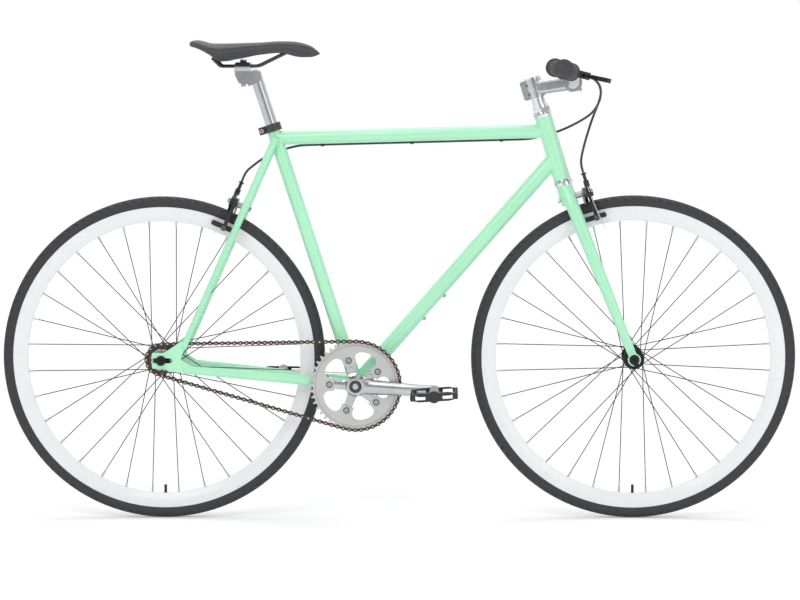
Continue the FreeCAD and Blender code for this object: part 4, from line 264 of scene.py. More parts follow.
def enamel(colour):
    """Sprayed gloss paint: slow tone drift, fine orange peel and a clear coat."""
    def paint(c):
        drift = c.noise(7.0, 3.0)
        peel = c.noise(1400.0)
        tone = c.mix(drift.above(0.3, 0.7), dressed(colour, 0.97), dressed(colour, 1.03))
        return {"colour": tone, "roughness": 0.24 + peel * 0.10, "coat": 0.6 + drift * 0.2,
                "coat_roughness": 0.14, "relief": peel, "height": 0.000006}
    return paint


def rim_enamel(colour, axle, track_radius):
    """White rim paint with a faintly scuffed brake track."""
    def paint(c):
        radius = c.from_axle(axle)
        scuff = radius.above(track_radius, track_radius + 0.002) * c.noise(120.0, 6.0).above(0.45, 0.75)
        ring = (radius * 6000.0).sin() * 0.5 + 0.5
        tone = c.mix(scuff * 0.35, colour, dressed(colour, 0.86))
        return {"colour": tone, "roughness": 0.26 + scuff * 0.2 + c.noise(900.0) * 0.06, "coat": 0.35,
                "relief": ring * scuff, "height": 0.00004}
    return paint


def brushed(colour, grain, axis, roughness):
    """Metal with fine polishing lines across an axis and a few soft smears."""
    def paint(c):
        lines = (c.along((0.0, 0.0, 0.0), axis) * grain + c.noise(60.0, 4.0) * 9.0).sin() * 0.5 + 0.5
        smear = c.noise(28.0, 5.0)
        tone = c.mix(smear.above(0.35, 0.75), dressed(colour, 0.88), colour)
        return {"colour": tone, "roughness": roughness + smear * 0.12 + lines * 0.05, "metallic": 1.0,
                "relief": lines, "height": 0.00001}
    return paint


def seat_clamp(colour, dark, rail_top, cradle_shade_span=(-0.004, 0.008), highlight_span=(-0.013, -0.007)):
    """Polished post with a dark band over the saddle's rails, the upper cradle's dark tone with painted shade of
    the clamp's gap, and a painted highlight on the lip below them.
    Both are spans of height from the rails' top."""
    metal = brushed(colour, 5200.0, (0.3, 0.2, 0.93), 0.13)

    def paint(c):
        look = metal(c)
        # Dark band over the rails: the cradle's own dark tone, deepened as painted shade of the clamp's gap.
        black = c.z.within(rail_top + cradle_shade_span[0], rail_top + cradle_shade_span[1], 0.0005)
        # Painted highlight on the lip below the rails: mixed towards white and made less metallic.
        bright = c.z.within(rail_top + highlight_span[0], rail_top + highlight_span[1], 0.001)
        tone = c.mix(bright * 0.6, look["colour"], (1.0, 1.0, 1.0))
        look["colour"] = c.mix(black, tone, dark)
        look["metallic"] = 1.0 - black * 0.75 - bright * 0.4
        return look
    return paint


def turned(colour, axle, roughness, edge):
    """Sheet metal turned on a lathe: rings round an axle, and a fine dark line of painted shade at a raised
    edge.
    """
    def paint(c):
        radius = c.from_axle(axle)
        rings = (radius * 9000.0 + c.noise(40.0) * 3.0).sin() * 0.5 + 0.5
        smear = c.noise(22.0, 4.0)
        # Painted shade: a fine dark line at the raised edge's radius, for the shaded side of the step.
        line = radius.within(edge - 0.0008, edge, 0.0004)
        tone = c.mix(smear.above(0.3, 0.75), dressed(colour, 0.93), colour)
        return {"colour": c.mix(line * 0.6, tone, dressed(colour, 0.3)),
                "roughness": roughness + rings * 0.06 + smear * 0.08, "metallic": 0.55,
                "relief": rings, "height": 0.00002}
    return paint


def crowned(colour, axle, along, radius, roughness):
    """Polished forging whose faces are crowned across a line through an axle, with polishing lines along it."""
    across = np.array((-along[2], 0.0, along[0]))

    def paint(c):
        off = c.along(axle, across) / radius
        boss = near(axle, 0.016, 0.014)(c)
        lines = (c.along(axle, across) * 9000.0 + c.noise(30.0, 4.0) * 6.0).sin() * 0.5 + 0.5
        smear = c.noise(24.0, 5.0)
        tone = c.mix(smear.above(0.35, 0.75), dressed(colour, 0.88), colour)
        return {"colour": tone, "roughness": roughness + smear * 0.12 + lines * 0.05, "metallic": 1.0,
                "relief": lines * 0.0003 - (off * off).math("MINIMUM", 0.5) * 0.5 * (1.0 - boss),
                "height": radius}
    return paint


def blackened(colour, roughness, scale):
    """Black coated metal with a fine grain and worn, paler spots."""
    def paint(c):
        grain = c.noise(scale, 4.0)
        worn = c.noise(45.0, 6.0).above(0.62, 0.8)
        tone = c.mix(worn * 0.35, colour, dressed(colour, 2.6))
        return {"colour": tone, "roughness": roughness + grain * 0.15, "metallic": 0.25, "coat": 0.25,
                "relief": grain, "height": 0.00005}
    return paint


def wire_steel(colour):
    """Dark drawn wire with lengthwise tone changes."""
    def paint(c):
        streak = c.noise(240.0, 3.0)
        return {"colour": c.mix(streak, dressed(colour, 0.8), dressed(colour, 1.3)),
                "roughness": 0.3 + streak * 0.2, "metallic": 0.8, "relief": streak, "height": 0.00002}
    return paint


def oiled_steel(colour, pin, middle, face):
    """Bronze-coloured chain steel, darker where oil gathers, with bright pin ends outside its plates."""
    def paint(c):
        oil = c.noise(420.0, 4.0)
        tone = c.mix(oil.above(0.35, 0.7), dressed(colour, 0.45), dressed(colour, 1.35))
        bright = abs(c.y - middle).above(face, face + 0.0001)
        return {"colour": c.mix(bright, tone, pin), "roughness": 0.28 + oil * 0.25, "metallic": 0.85,
                "relief": oil, "height": 0.00005}
    return paint


def tyre_rubber(colour, axle, width):
    """Tyre rubber: a dusty crown, smooth flanks with moulding lines, fine grain, and painted shade that darkens
    the tread notches.
    """
    def paint(c):
        radius = c.from_axle(axle)
        crown = 1.0 - abs(c.y).above(width * 0.16, width * 0.36)
        dust = c.noise(90.0, 6.0).above(0.4, 0.75)
        grain = c.noise(1500.0, 3.0)
        line = (radius * 2600.0).sin().above(0.75, 0.95) * (1.0 - crown)
        worn = c.mix(crown * 0.5 + dust * 0.25, colour, dressed(colour, 1.5))
        # Painted shade: darker where the tread notches are deeper.
        tone = c.mix(c.attribute("notch") * 0.6, worn, dressed(colour, 0.5))
        return {"colour": tone, "roughness": 0.5 + grain * 0.2 + dust * 0.1, "specular": 0.4,
                "relief": grain * 0.6 + line, "height": 0.00012}
    return paint


def moulded_rubber(colour, scale):
    """Soft moulded rubber with a pebbled skin."""
    def paint(c):
        pebble = c.cells(scale)
        wear = c.noise(60.0, 5.0)
        return {"colour": c.mix(wear.above(0.4, 0.75), colour, dressed(colour, 1.5)),
                "roughness": 0.55 + wear * 0.2, "relief": pebble, "height": 0.0003}
    return paint


def cable_jacket(colour):
    """Glossy plastic cable housing with a faint extrusion grain."""
    def paint(c):
        grain = c.noise(500.0, 3.0)
        return {"colour": c.mix(grain, dressed(colour, 0.8), dressed(colour, 1.25)),
                "roughness": 0.25 + grain * 0.18, "coat": 0.3, "relief": grain, "height": 0.00004}
    return paint


def leather(colour):
    """Saddle cover: pebbled vinyl with a paler crown and a row of stitches along the seam."""
    def paint(c):
        pebble = c.cells(700.0)
        crown = c.noise(18.0, 4.0)
        thread = c.attribute("seam").above(0.55, 0.8) * (c.x * 1400.0).sin().above(-0.2, 0.2)
        tone = c.mix(crown.above(0.3, 0.8), dressed(colour, 0.8), dressed(colour, 1.35))
        return {"colour": c.mix(thread * 0.5, tone, dressed(colour, 3.0)), "roughness": 0.42 + pebble * 0.25,
                "coat": 0.12, "relief": pebble * 0.5 + thread, "height": 0.00025}
    return paint


def brake_arm(colour, metal, rubber, origin, upward, pad_height, pad_face, head_face, anchor):
    """Caliper arm: black casting, rubber pad in its black holder with a dark bolt, and a bright anchor bolt."""
    def paint(c):
        low = 1.0 - c.along(origin, upward).above(pad_height - 0.001, pad_height + 0.001)
        side = abs(c.y)
        pad = low * (1.0 - side.above(pad_face - 0.0003, pad_face))
        bolt = 1.0 - c.from_point(anchor).above(0.0055, 0.006)
        head = low * side.above(head_face - 0.0003, head_face)
        bright = head.math("MAXIMUM", bolt)
        grain = c.noise(900.0, 3.0)
        tone = c.mix(pad, c.mix(bolt, c.mix(head, colour, dressed(metal, 0.2)), metal), rubber)
        ribs = (c.along(origin, upward) * 2600.0).sin() * 0.5 + 0.5
        return {"colour": tone, "roughness": 0.36 + grain * 0.12 + pad * 0.3 - bright * 0.1,
                "metallic": 0.2 + bright * 0.7, "coat": 0.2, "relief": grain * 0.5 + ribs * pad,
                "height": 0.0001}
    return paint


def two_metals(first, second, mask):
    """Two metals on one node, told apart by a mask of its coordinates."""
    def paint(c):
        share = mask(c)
        grain = c.noise(300.0, 4.0)
        tone = c.mix(share, dressed(first, 0.95), second)
        return {"colour": c.mix(grain * 0.2, tone, dressed(second, 0.8)), "roughness": 0.24 + grain * 0.2,
                "metallic": 0.35 + share * 0.6, "relief": grain, "height": 0.00003}
    return paint


# Meshes


def grid_mesh(name, points, wrap_across):
    """Mesh of a grid of points (rows, columns, 3). Face (i, j) joins (i, j), (i+1, j), (i+1, j+1) and (i, j+1).
    Rows close on themselves. Columns do so too where wrap_across is true, and else end in flat caps."""
    rows, columns = points.shape[:2]
    i, j = np.meshgrid(np.arange(rows), np.arange(columns if wrap_across else columns - 1), indexing="ij")
    i_next = (i + 1) % rows
    j_next = (j + 1) % columns
    row, row_next = i * columns, i_next * columns
    faces = np.stack((row + j, row_next + j, row_next + j_next, row + j_next), axis=-1).reshape(-1, 4).tolist()
    if not wrap_across:
        first = np.arange(rows) * columns
        faces += [first[::-1].tolist(), (first + columns - 1).tolist()]
    return polygons(name, points.reshape(-1, 3), faces)


def tube_mesh(name, line, radius, sides):
    """Round tube P(t, a) = line(t) + radius (cos a normal(t) + sin a binormal(t)), with flat ends."""
    tangent = np.gradient(line, axis=0)
    tangent /= np.linalg.norm(tangent, axis=1)[:, None]
    normal = np.empty_like(line)
    guide = np.cross(tangent[0], (0.3, 0.2, 0.9))
    for index, ahead in enumerate(tangent):
        guide = guide - ahead * np.dot(guide, ahead)
        guide /= np.linalg.norm(guide)
        normal[index] = guide
    binormal = np.cross(tangent, normal)
    angle = np.linspace(0.0, 2.0 * math.pi, sides, endpoint=False)[:, None, None]
    points = line + radius * (np.cos(angle) * normal + np.sin(angle) * binormal)
    return grid_mesh(name, points, False)


def polygons(name, points, faces):
    mesh = bpy.data.meshes.new(name)
    mesh.from_pydata(np.asarray(points).tolist(), [], faces)
    mesh.polygons.foreach_set("use_smooth", np.ones(len(mesh.polygons), dtype=bool))
    mesh.update()
    piece = bpy.data.objects.new(name, mesh)
    bpy.context.scene.collection.objects.link(piece)
    return piece


def eased(stations, values, places):
    """Smooth curve through the values at rising stations, by cubic pieces with mean slopes."""
    stations, values = np.array(stations), np.array(values)
    slopes = np.gradient(values, stations)
    index = np.clip(np.searchsorted(stations, places, side="right") - 1, 0, len(stations) - 2)
    width = stations[index + 1] - stations[index]
    part = (places - stations[index]) / width
    rest = 1.0 - part
    start = values[index] * (1.0 + 2.0 * part) * rest ** 2 + slopes[index] * width * part * rest ** 2
    end = values[index + 1] * (1.0 + 2.0 * rest) * part ** 2 - slopes[index + 1] * width * rest * part ** 2
    return start + end


def spline_line(points):
    """Points along the order-3 NURBS spline that has the route's points as its control points."""
    curve = bpy.data.curves.new("route", "CURVE")
    curve.dimensions = "3D"
    spline = curve.splines.new("NURBS")
    spline.points.add(len(points) - 1)
    spline.points.foreach_set("co", np.column_stack((points, np.ones(len(points)))).ravel())
    spline.order_u = 3
    spline.use_endpoint_u = True
    spline.resolution_u = 8
    holder = bpy.data.objects.new("route", curve)
    mesh = bpy.data.meshes.new_from_object(holder)
    line = np.empty(len(mesh.vertices) * 3)
    mesh.vertices.foreach_get("co", line)
    bpy.data.objects.remove(holder)
    bpy.data.curves.remove(curve)
    bpy.data.meshes.remove(mesh)
    return line.reshape(-1, 3)


def place(piece, body, material, slot, *nodes):
    piece.data.materials.append(material)
    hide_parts(*nodes)
    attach(piece, body)


def clad(node, material):
    """Gives a CAD node its material."""
    mesh = NODES[node].data
    mesh.materials.clear()
    mesh.materials.append(material)


# Settings


class BicycleColours(bpy.types.PropertyGroup):
    """Colours of the bicycle's surfaces."""

    def shade(name, description, red, green, blue):
        return bpy.props.FloatVectorProperty(name=name, description=description, subtype="COLOR", size=3,
                                             default=linear(red, green, blue), min=0.0, max=1.0)

    paint: shade("Frame paint", "Mint enamel of the frame and fork", 178, 246, 205)
    rims: shade("Rims", "White enamel of the rims", 244, 246, 248)
    silver: shade("Silver", "Polished alloy of cranks, stem, bar and post", 196, 197, 200)
    satin: shade("Satin", "Turned alloy of the chainring", 205, 206, 204)
    chrome: shade("Chrome", "Plated headset", 226, 228, 232)
    black: shade("Black metal", "Coated brakes, hubs and pedals", 40, 40, 42)
    tyre: shade("Tyres", "Rubber of the tyres", 58, 58, 61)
    rubber: shade("Grips", "Rubber of the grips and pads", 62, 62, 66)
    cover: shade("Saddle", "Cover of the saddle", 58, 58, 62)
    chain: shade("Chain", "Bronze steel of the chain and cog", 92, 78, 68)
    spokes: shade("Spokes", "Dark steel of the spokes and axles", 46, 46, 49)
    floor: shade("Floor", "Pale studio floor", 252, 252, 252)


class BicycleSizes(bpy.types.PropertyGroup):
    """Sizes of the dressed pieces."""

    def length(name, description, default):
        return bpy.props.FloatProperty(name=name, description=description, default=default, min=0.0,
                                       subtype="DISTANCE", unit="LENGTH", precision=5)

    notch_depth: length("Notch depth", "Depth of the tyre's tread notches", 0.0011)
    seam_depth: length("Seam depth", "Depth of the saddle's seam groove", 0.0009)
    housing: length("Cable diameter", "Outside diameter of the cable housing", 0.005)
    wire: length("Wire diameter", "Diameter of the brake's inner wire", 0.0018)
    notches: bpy.props.IntProperty(name="Notches", description="Tread notches round each side of a tyre",
                                   default=110, min=10, max=300)


class BicycleStage(bpy.types.PropertyGroup):
    """Camera and light."""

    def spot(name, description, default):
        return bpy.props.FloatVectorProperty(name=name, description=description, default=default, size=3,
                                             subtype="TRANSLATION")

    def share(name, description, default):
        return bpy.props.FloatProperty(name=name, description=description, default=default, min=0.0, max=1.0)

    eye: spot("Camera", "Place of the camera", (0.151, -5.8, 0.98))
    aim: spot("Aim", "Point that the camera looks at", (0.0045, 0.0, 0.4595))
    lens: bpy.props.FloatProperty(name="Lens", description="Focal length of the camera", default=125.1,
                                  min=20.0, unit="CAMERA")
    roll: bpy.props.FloatProperty(name="Roll", description="Turn of the camera about its line of sight",
                                  default=math.radians(-0.2), subtype="ANGLE")
    light: share("Light", "Strength of the studio's surroundings as a light", 0.55)
    glow: share("Glow", "How much the floor is lifted to white where it is seen", 0.2)


# Operators


class BICYCLE_OT_surfaces(bpy.types.Operator):
    """Gives every CAD node its material."""

    bl_idname = "bicycle.surfaces"
    bl_label = "Surfaces"

    brake_track = 0.016
    stud_radius = 0.005
    hub_edge = 0.026
    anchors = {"front": (0.4024, -0.041, 0.6724), "rear": (-0.3519, 0.041, 0.654)}
    pad_height = -0.043
    pad_face = 0.0216
    head_face = 0.0375
    chain_middle = -0.044
    plate_face = 0.0039
    ring_edge = 0.085
    arm_angle = math.radians(-3.0)
    arm_crown = 0.022
    bolt_circle = 0.055
    bolt_middle = 0.0042
    cap_middle = 0.0068
    rail_diameter = 0.007
    collar_bolt = (0.0072, 0.0088)
    lever_band = 0.018

    def execute(self, context):
        colours = context.scene.bicycle_colours
        tint = {key: tuple(getattr(colours, key)) for key in BicycleColours.__annotations__}
        shared = {slot: surface(slot, paint) for slot, paint in self.shared_paints(tint).items()}
        single = {**self.wheel_paints(tint), **self.crank_paints(tint), **self.clamp_paints(tint)}
        for node, slot in SLOT_OF.items():
            if node in single:
                clad(node, surface(node, single[node]))
            elif slot in shared:
                clad(node, shared[slot])
        return {"FINISHED"}

    def shared_paints(self, tint):
        """Paints of the slots that several nodes share."""
        return {
            "mint_paint": enamel(tint["paint"]),
            "polished_alloy": brushed(tint["silver"], 5200.0, (0.3, 0.2, 0.93), 0.13),
            "satin_alloy": brushed(tint["satin"], 8000.0, (0.0, 0.0, 1.0), 0.24),
            "black_metal": blackened(tint["black"], 0.28, 800.0),
            "black_alloy": blackened(tint["black"], 0.34, 1200.0),
            "chrome": brushed(tint["chrome"], 7000.0, direction("steer"), 0.06),
            "steel": brushed(tint["silver"], 9000.0, (0.6, 0.5, 0.62), 0.2),
            "spoke_steel": wire_steel(tint["spokes"]),
            "bronze_steel": oiled_steel(tint["chain"], tint["silver"], self.chain_middle, self.plate_face),
            "tube_rubber": moulded_rubber(dressed(tint["rubber"], 0.5), 500.0),
            "grip_rubber": moulded_rubber(tint["rubber"], 620.0),
            "cable_plastic": cable_jacket(tint["black"]),
        }

    def wheel_paints(self, tint):
        """Paints of each wheel's rim, axle and hub, and of its brake's arms."""
        paints = {}
        for wheel in ("front", "rear"):
            axle = pivot(wheel + "_wheel_spin")
            track = box_size(wheel + "_rim")[0] / 2.0 - self.brake_track
            paints[wheel + "_rim"] = rim_enamel(tint["rims"], axle, track)
            paints[wheel + "_axle"] = two_metals(dressed(tint["black"], 0.9), tint["spokes"],
                                                 near(axle, self.stud_radius, 0.0005))
            paints[wheel + "_hub"] = turned(dressed(tint["black"], 1.1), axle, 0.3, self.hub_edge)
            origin = pivot(wheel + "_housing_arm_turn")
            rise = np.cross(direction(wheel + "_housing_arm_turn"), (0.0, 1.0, 0.0))
            rise *= math.copysign(1.0, rise[2])
            for arm in ("housing", "anchor"):
                paints["%s_brake_%s_arm" % (wheel, arm)] = brake_arm(
                    dressed(tint["black"], 0.8), tint["silver"], dressed(tint["rubber"], 0.35), origin, rise,
                    self.pad_height, self.pad_face, self.head_face, self.anchors[wheel])
        return paints

    def crank_paints(self, tint):
        """Paints of the chainring, its bolts and both cranks."""
        crank = pivot("crank_spin")
        paints = {"chainring": turned(tint["satin"], crank, 0.3, self.ring_edge)}
        for side, turn in (("right", self.arm_angle), ("left", self.arm_angle + math.pi)):
            along = (math.cos(turn), 0.0, math.sin(turn))
            paints[side + "_crank"] = crowned(tint["silver"], crank, along, self.arm_crown, 0.16)
        bolt_angles = self.arm_angle + math.pi / 5.0 * np.arange(1, 10, 2)
        bolts = [crank + self.bolt_circle * np.array((math.cos(angle), 0.0, math.sin(angle)))
                 for angle in bolt_angles]

        def bolt_heads(c):
            """1 in the middle of each bolt and dust cap, and 0 on its rim."""
            share = near(crank, self.cap_middle, 0.0003)(c)
            for bolt in bolts:
                share = share.math("MAXIMUM", near(bolt, self.bolt_middle, 0.0003)(c))
            return share

        paints["chainring_bolts"] = two_metals(dressed(tint["black"], 0.8), tint["silver"], bolt_heads)
        return paints

    def clamp_paints(self, tint):
        """Paints of the seatpost, the seat collar and the lever brackets."""
        black = dressed(tint["black"], 0.9)
        rail_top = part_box("saddle_rails")[0][2] + self.rail_diameter
        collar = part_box("seat_collar")[0]
        bolt = (collar[0] + self.collar_bolt[0], 0.0, collar[2] + self.collar_bolt[1])
        band = pivot("right_lever_pull")[0] - self.lever_band
        return {
            "seatpost": seat_clamp(tint["silver"], black, rail_top),
            "seat_collar": two_metals(black, tint["silver"], lambda c: (
                c.from_axle(bolt).within(0.002, 0.0046, 0.0002) * abs(c.y).above(0.0076, 0.0078))),
            "brake_lever_brackets": two_metals(black, tint["silver"], lambda c: (
                1.0 - c.x.above(band, band + 0.0015))),
        }


class BICYCLE_OT_tyres(bpy.types.Operator):
    """Builds both tyres with their tread notches."""

    bl_idname = "bicycle.tyres"
    bl_label = "Tyres"

    points_per_notch = 8
    points_across = 45
    slant = 0.9
    notch_half, notch_edge = 0.24, 0.08
    band_low, band_low_edge = 0.35, 0.12
    band_high, band_high_edge = 1.25, 0.15
    groove_lean, groove_width, groove_share = 0.16, 0.05, 0.7
    bead_share, foot_share = 0.58, 0.35

    def execute(self, context):
        sizes = context.scene.bicycle_sizes
        colour = tuple(context.scene.bicycle_colours.tyre)
        for wheel in ("front", "rear"):
            axle = pivot(wheel + "_wheel_spin")
            outer = box_size(wheel + "_tyre")[2] / 2.0
            half = box_size(wheel + "_tyre")[1] / 2.0
            rim = box_size(wheel + "_rim")[2] / 2.0
            points, notch = self.surface(axle, outer, half, rim, sizes)
            piece = grid_mesh(wheel + "_tyre_rubber", points, True)
            # Notch depth at each point, which the tyre's material turns into painted shade in the notches.
            attribute = piece.data.attributes.new("notch", "FLOAT", "POINT")
            attribute.data.foreach_set("value", notch.ravel())
            material = surface(wheel + "_tyre_rubber", tyre_rubber(colour, axle, 2.0 * half))
            place(piece, wheel + "_wheel", material, "tyre_rubber", wheel + "_tyre")
        return {"FINISHED"}

    def surface(self, axle, outer, half, rim, sizes):
        """Casing P(a, t) = axle + (R + (h - d) cos t) (cos a, 0, sin a) + (h - d) sin t (0, 1, 0), where the
        notch depth d is set by a slanted saw of a and |t|, closed by the bead between the rim's walls."""
        crown = outer - half
        open_angle = math.pi - math.acos((crown - rim) / half)
        turns = np.linspace(0.0, 2.0 * math.pi, sizes.notches * self.points_per_notch, endpoint=False)[:, None]
        lean = np.linspace(open_angle, -open_angle, self.points_across)[None, :]
        tilt = np.abs(lean)
        saw = (turns * sizes.notches / (2.0 * math.pi) + tilt * self.slant + (lean > 0) * 0.5) % 1.0
        cut = np.clip((self.notch_half - np.abs(saw - 0.5)) / self.notch_edge, 0.0, 1.0)
        band = (np.clip((tilt - self.band_low) / self.band_low_edge, 0.0, 1.0)
                * np.clip((self.band_high - tilt) / self.band_high_edge, 0.0, 1.0))
        groove = np.exp(-((tilt - self.groove_lean) / self.groove_width) ** 2) * self.groove_share
        depth = np.maximum(cut * band, groove + 0.0 * turns)
        reach = half - sizes.notch_depth * depth
        bead = half * self.bead_share
        foot = rim - half * self.foot_share
        foot_radius = np.broadcast_to((rim, foot, foot, rim), (len(turns), 4))
        foot_side = np.broadcast_to((-bead, -bead, bead, bead), (len(turns), 4))
        radius = np.hstack((crown + reach * np.cos(lean), foot_radius))
        side = np.hstack((reach * np.sin(lean), foot_side))
        notch = np.hstack((depth, np.zeros((len(turns), 4))))
        points = np.stack((axle[0] + radius * np.cos(turns), axle[1] + side,
                           axle[2] + radius * np.sin(turns)), axis=-1)
        return points, notch


class BICYCLE_OT_saddle(bpy.types.Operator):
    """Builds the padded saddle with its seam."""

    bl_idname = "bicycle.saddle"
    bl_label = "Saddle"

    stations = (0.0, 0.05, 0.167, 0.228, 0.349, 0.533, 0.714, 0.837, 0.93, 1.0)
    half_widths = (0.30, 0.42, 0.50, 0.49, 0.38, 0.22, 0.155, 0.145, 0.125, 0.06)
    tops = (0.05, 0.0, 0.14, 0.15, 0.14, 0.11, 0.06, 0.11, 0.28, 0.55)
    edges = (0.15, 0.18, 0.40, 0.50, 0.45, 0.32, 0.26, 0.34, 0.45, 0.62)
    skirts = (0.34, 0.42, 0.80, 1.12, 1.06, 0.83, 0.77, 0.97, 0.93, 0.78)
    depth = 0.046
    top_height = 1.003
    tail_gap, nose_gap = 0.007, 0.001
    tail_round, nose_round = 0.025, 0.07
    hollow_share, hollow_rim = 0.55, 0.25
    seam_width = 0.07

    def execute(self, context):
        points, seam = self.surface(context.scene.bicycle_sizes.seam_depth)
        piece = grid_mesh("saddle_cover", points, False)
        attribute = piece.data.attributes.new("seam", "FLOAT", "POINT")
        attribute.data.foreach_set("value", seam.ravel())
        material = surface("saddle_cover", leather(tuple(context.scene.bicycle_colours.cover)))
        place(piece, "seat", material, "saddle_cover", "saddle")
        return {"FINISHED"}

    def surface(self, seam_depth):
        """Pad P(v, u) = (x(u), w(u) c(v), e(u) + h(u) s(v)), with c and s the rounded cosine and sine of a
        superellipse, h the crown's height above the edge e or the skirt's depth below it, and a hollow."""
        low, high = (np.array(corner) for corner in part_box("saddle"))
        rear = low[0] + self.tail_gap
        length = high[0] + self.nose_gap - rear
        width = high[1] - low[1]
        u = np.linspace(0.0, 1.0, 120)[None, :]
        v = np.linspace(0.0, 2.0 * math.pi, 96, endpoint=False)[:, None]
        half = width * eased(self.stations, self.half_widths, u)
        top, edge, base = (self.top_height - self.depth * eased(self.stations, shares, u)
                           for shares in (self.tops, self.edges, self.skirts))
        cosine = np.sign(np.cos(v)) * np.abs(np.cos(v)) ** 0.8
        sine = np.abs(np.sin(v)) ** 0.85
        upper = np.sin(v) >= 0.0
        height = np.where(upper, (top - edge) * sine, -(edge - base) * sine ** 0.6)
        dish = np.clip(1.0 - np.abs(cosine) ** 3 - self.hollow_rim, 0.0, 1.0)
        hollow = np.where(upper, 0.0, self.hollow_share * (edge - base) * dish)
        tail, nose = (np.sqrt(np.clip(1.0 - np.clip(1.0 - part / size, 0.0, 1.0) ** 2, 0.0, 1.0))
                      for part, size in ((u, self.tail_round), (1.0 - u, self.nose_round)))
        shut = np.maximum(tail * nose, 0.02)
        tuck = 1.0 - 0.1 * np.where(upper, 0.0, sine)
        seam = np.exp(-(np.sin(v) / self.seam_width) ** 2) + 0.0 * u
        groove = seam_depth * seam * np.sign(cosine)
        narrow = (0.72 + 0.28 * tail) * (0.55 + 0.45 * nose) * np.where(shut < 0.05, 0.3, 1.0)
        side = (half * cosine * tuck - groove) * narrow
        rise = edge + (height + hollow) * shut
        along = rear + length * u + 0.0 * v
        return np.stack((along, side, rise), axis=-1), seam


class BICYCLE_OT_cables(bpy.types.Operator):
    """Builds both brake cables, their housings and inner wires, as tubes."""

    bl_idname = "bicycle.cables"
    bl_label = "Cables"

    front_route = ((0.3907, 0.1169, 0.9264), (0.3931, 0.1011, 0.9257), (0.404, 0.080, 0.924),
                   (0.420, 0.064, 0.914), (0.427, 0.044, 0.897), (0.421, 0.018, 0.873),
                   (0.406, -0.008, 0.8395), (0.397, -0.022, 0.814), (0.389, -0.033, 0.789),
                   (0.383, -0.039, 0.766), (0.380, -0.041, 0.7451), (0.3852, -0.041, 0.7284))
    front_wire = ((0.3924, -0.041, 0.7049), (0.4024, -0.041, 0.6724), (0.4312, -0.047, 0.6122))
    rear_route = ((0.3907, -0.1169, 0.9264), (0.3931, -0.1011, 0.9257), (0.402, -0.080, 0.924),
                  (0.419, -0.066, 0.908), (0.422, -0.050, 0.882), (0.408, -0.030, 0.852),
                  (0.380, -0.005, 0.832), (0.345, 0.018, 0.814), (0.312, 0.025, 0.803),
                  (0.280, 0.016, 0.796), (0.2623, 0.0058, 0.795), (0.236, 0.0058, 0.7944),
                  (-0.172, 0.0058, 0.7847), (-0.2016, 0.0058, 0.784), (-0.232, 0.024, 0.777),
                  (-0.258, 0.036, 0.768), (-0.283, 0.040, 0.756), (-0.305, 0.041, 0.740),
                  (-0.3224, 0.041, 0.7253), (-0.3282, 0.041, 0.7075))
    rear_wire = ((-0.3382, 0.041, 0.685), (-0.3519, 0.041, 0.654), (-0.3879, 0.047, 0.5977))
    sides = 14

    def execute(self, context):
        sizes = context.scene.bicycle_sizes
        colours = context.scene.bicycle_colours
        jacket = surface("brake_cable_jacket", cable_jacket(tuple(colours.black)))
        steel = surface("brake_cable_wire", wire_steel(tuple(colours.satin)))
        front = spline_line(np.array(self.front_route))
        rear = spline_line(np.array(self.rear_route))
        middle = int(np.argmin(np.abs(rear[:, 0])))
        front_wire = spline_line(np.array(self.front_wire))
        rear_wire = spline_line(np.array(self.rear_wire))
        split = len(front_wire) // 4
        pieces = (
            ("front_cable_jacket", "front", front, jacket, "steering", "front_brake_housing_arm",
             self.front_route[8], self.front_route[10]),
            ("rear_cable_lead", "rear", rear[:middle + 1], jacket, "frame", "steering",
             self.rear_route[9], self.rear_route[1]),
            ("rear_cable_jacket", "rear", rear[middle:], jacket, "frame", "rear_brake_housing_arm",
             self.rear_route[15], self.rear_route[18]),
            ("front_cable_wire", "front", front_wire[:split + 1], steel, "steering", "front_brake_housing_arm",
             tuple(front_wire[split]), self.front_wire[0]),
            ("front_cable_tail", "front", front_wire[split:], steel, "steering", "front_brake_anchor_arm",
             tuple(front_wire[split]), self.front_wire[1]),
            ("rear_cable_wire", "rear", rear_wire[:split + 1], steel, "frame", "rear_brake_housing_arm",
             tuple(rear_wire[split]), self.rear_wire[0]),
            ("rear_cable_tail", "rear", rear_wire[split:], steel, "frame", "rear_brake_anchor_arm",
             tuple(rear_wire[split]), self.rear_wire[1]))
        for name, wheel, line, material, first, second, start, end in pieces:
            thickness = sizes.housing if material is jacket else sizes.wire
            piece = tube_mesh(name, line, thickness / 2.0, self.sides)
            piece.data.materials.append(material)
            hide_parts(wheel + "_brake_cable")
            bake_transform(piece)
            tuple(start)
            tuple(end)
        return {"FINISHED"}


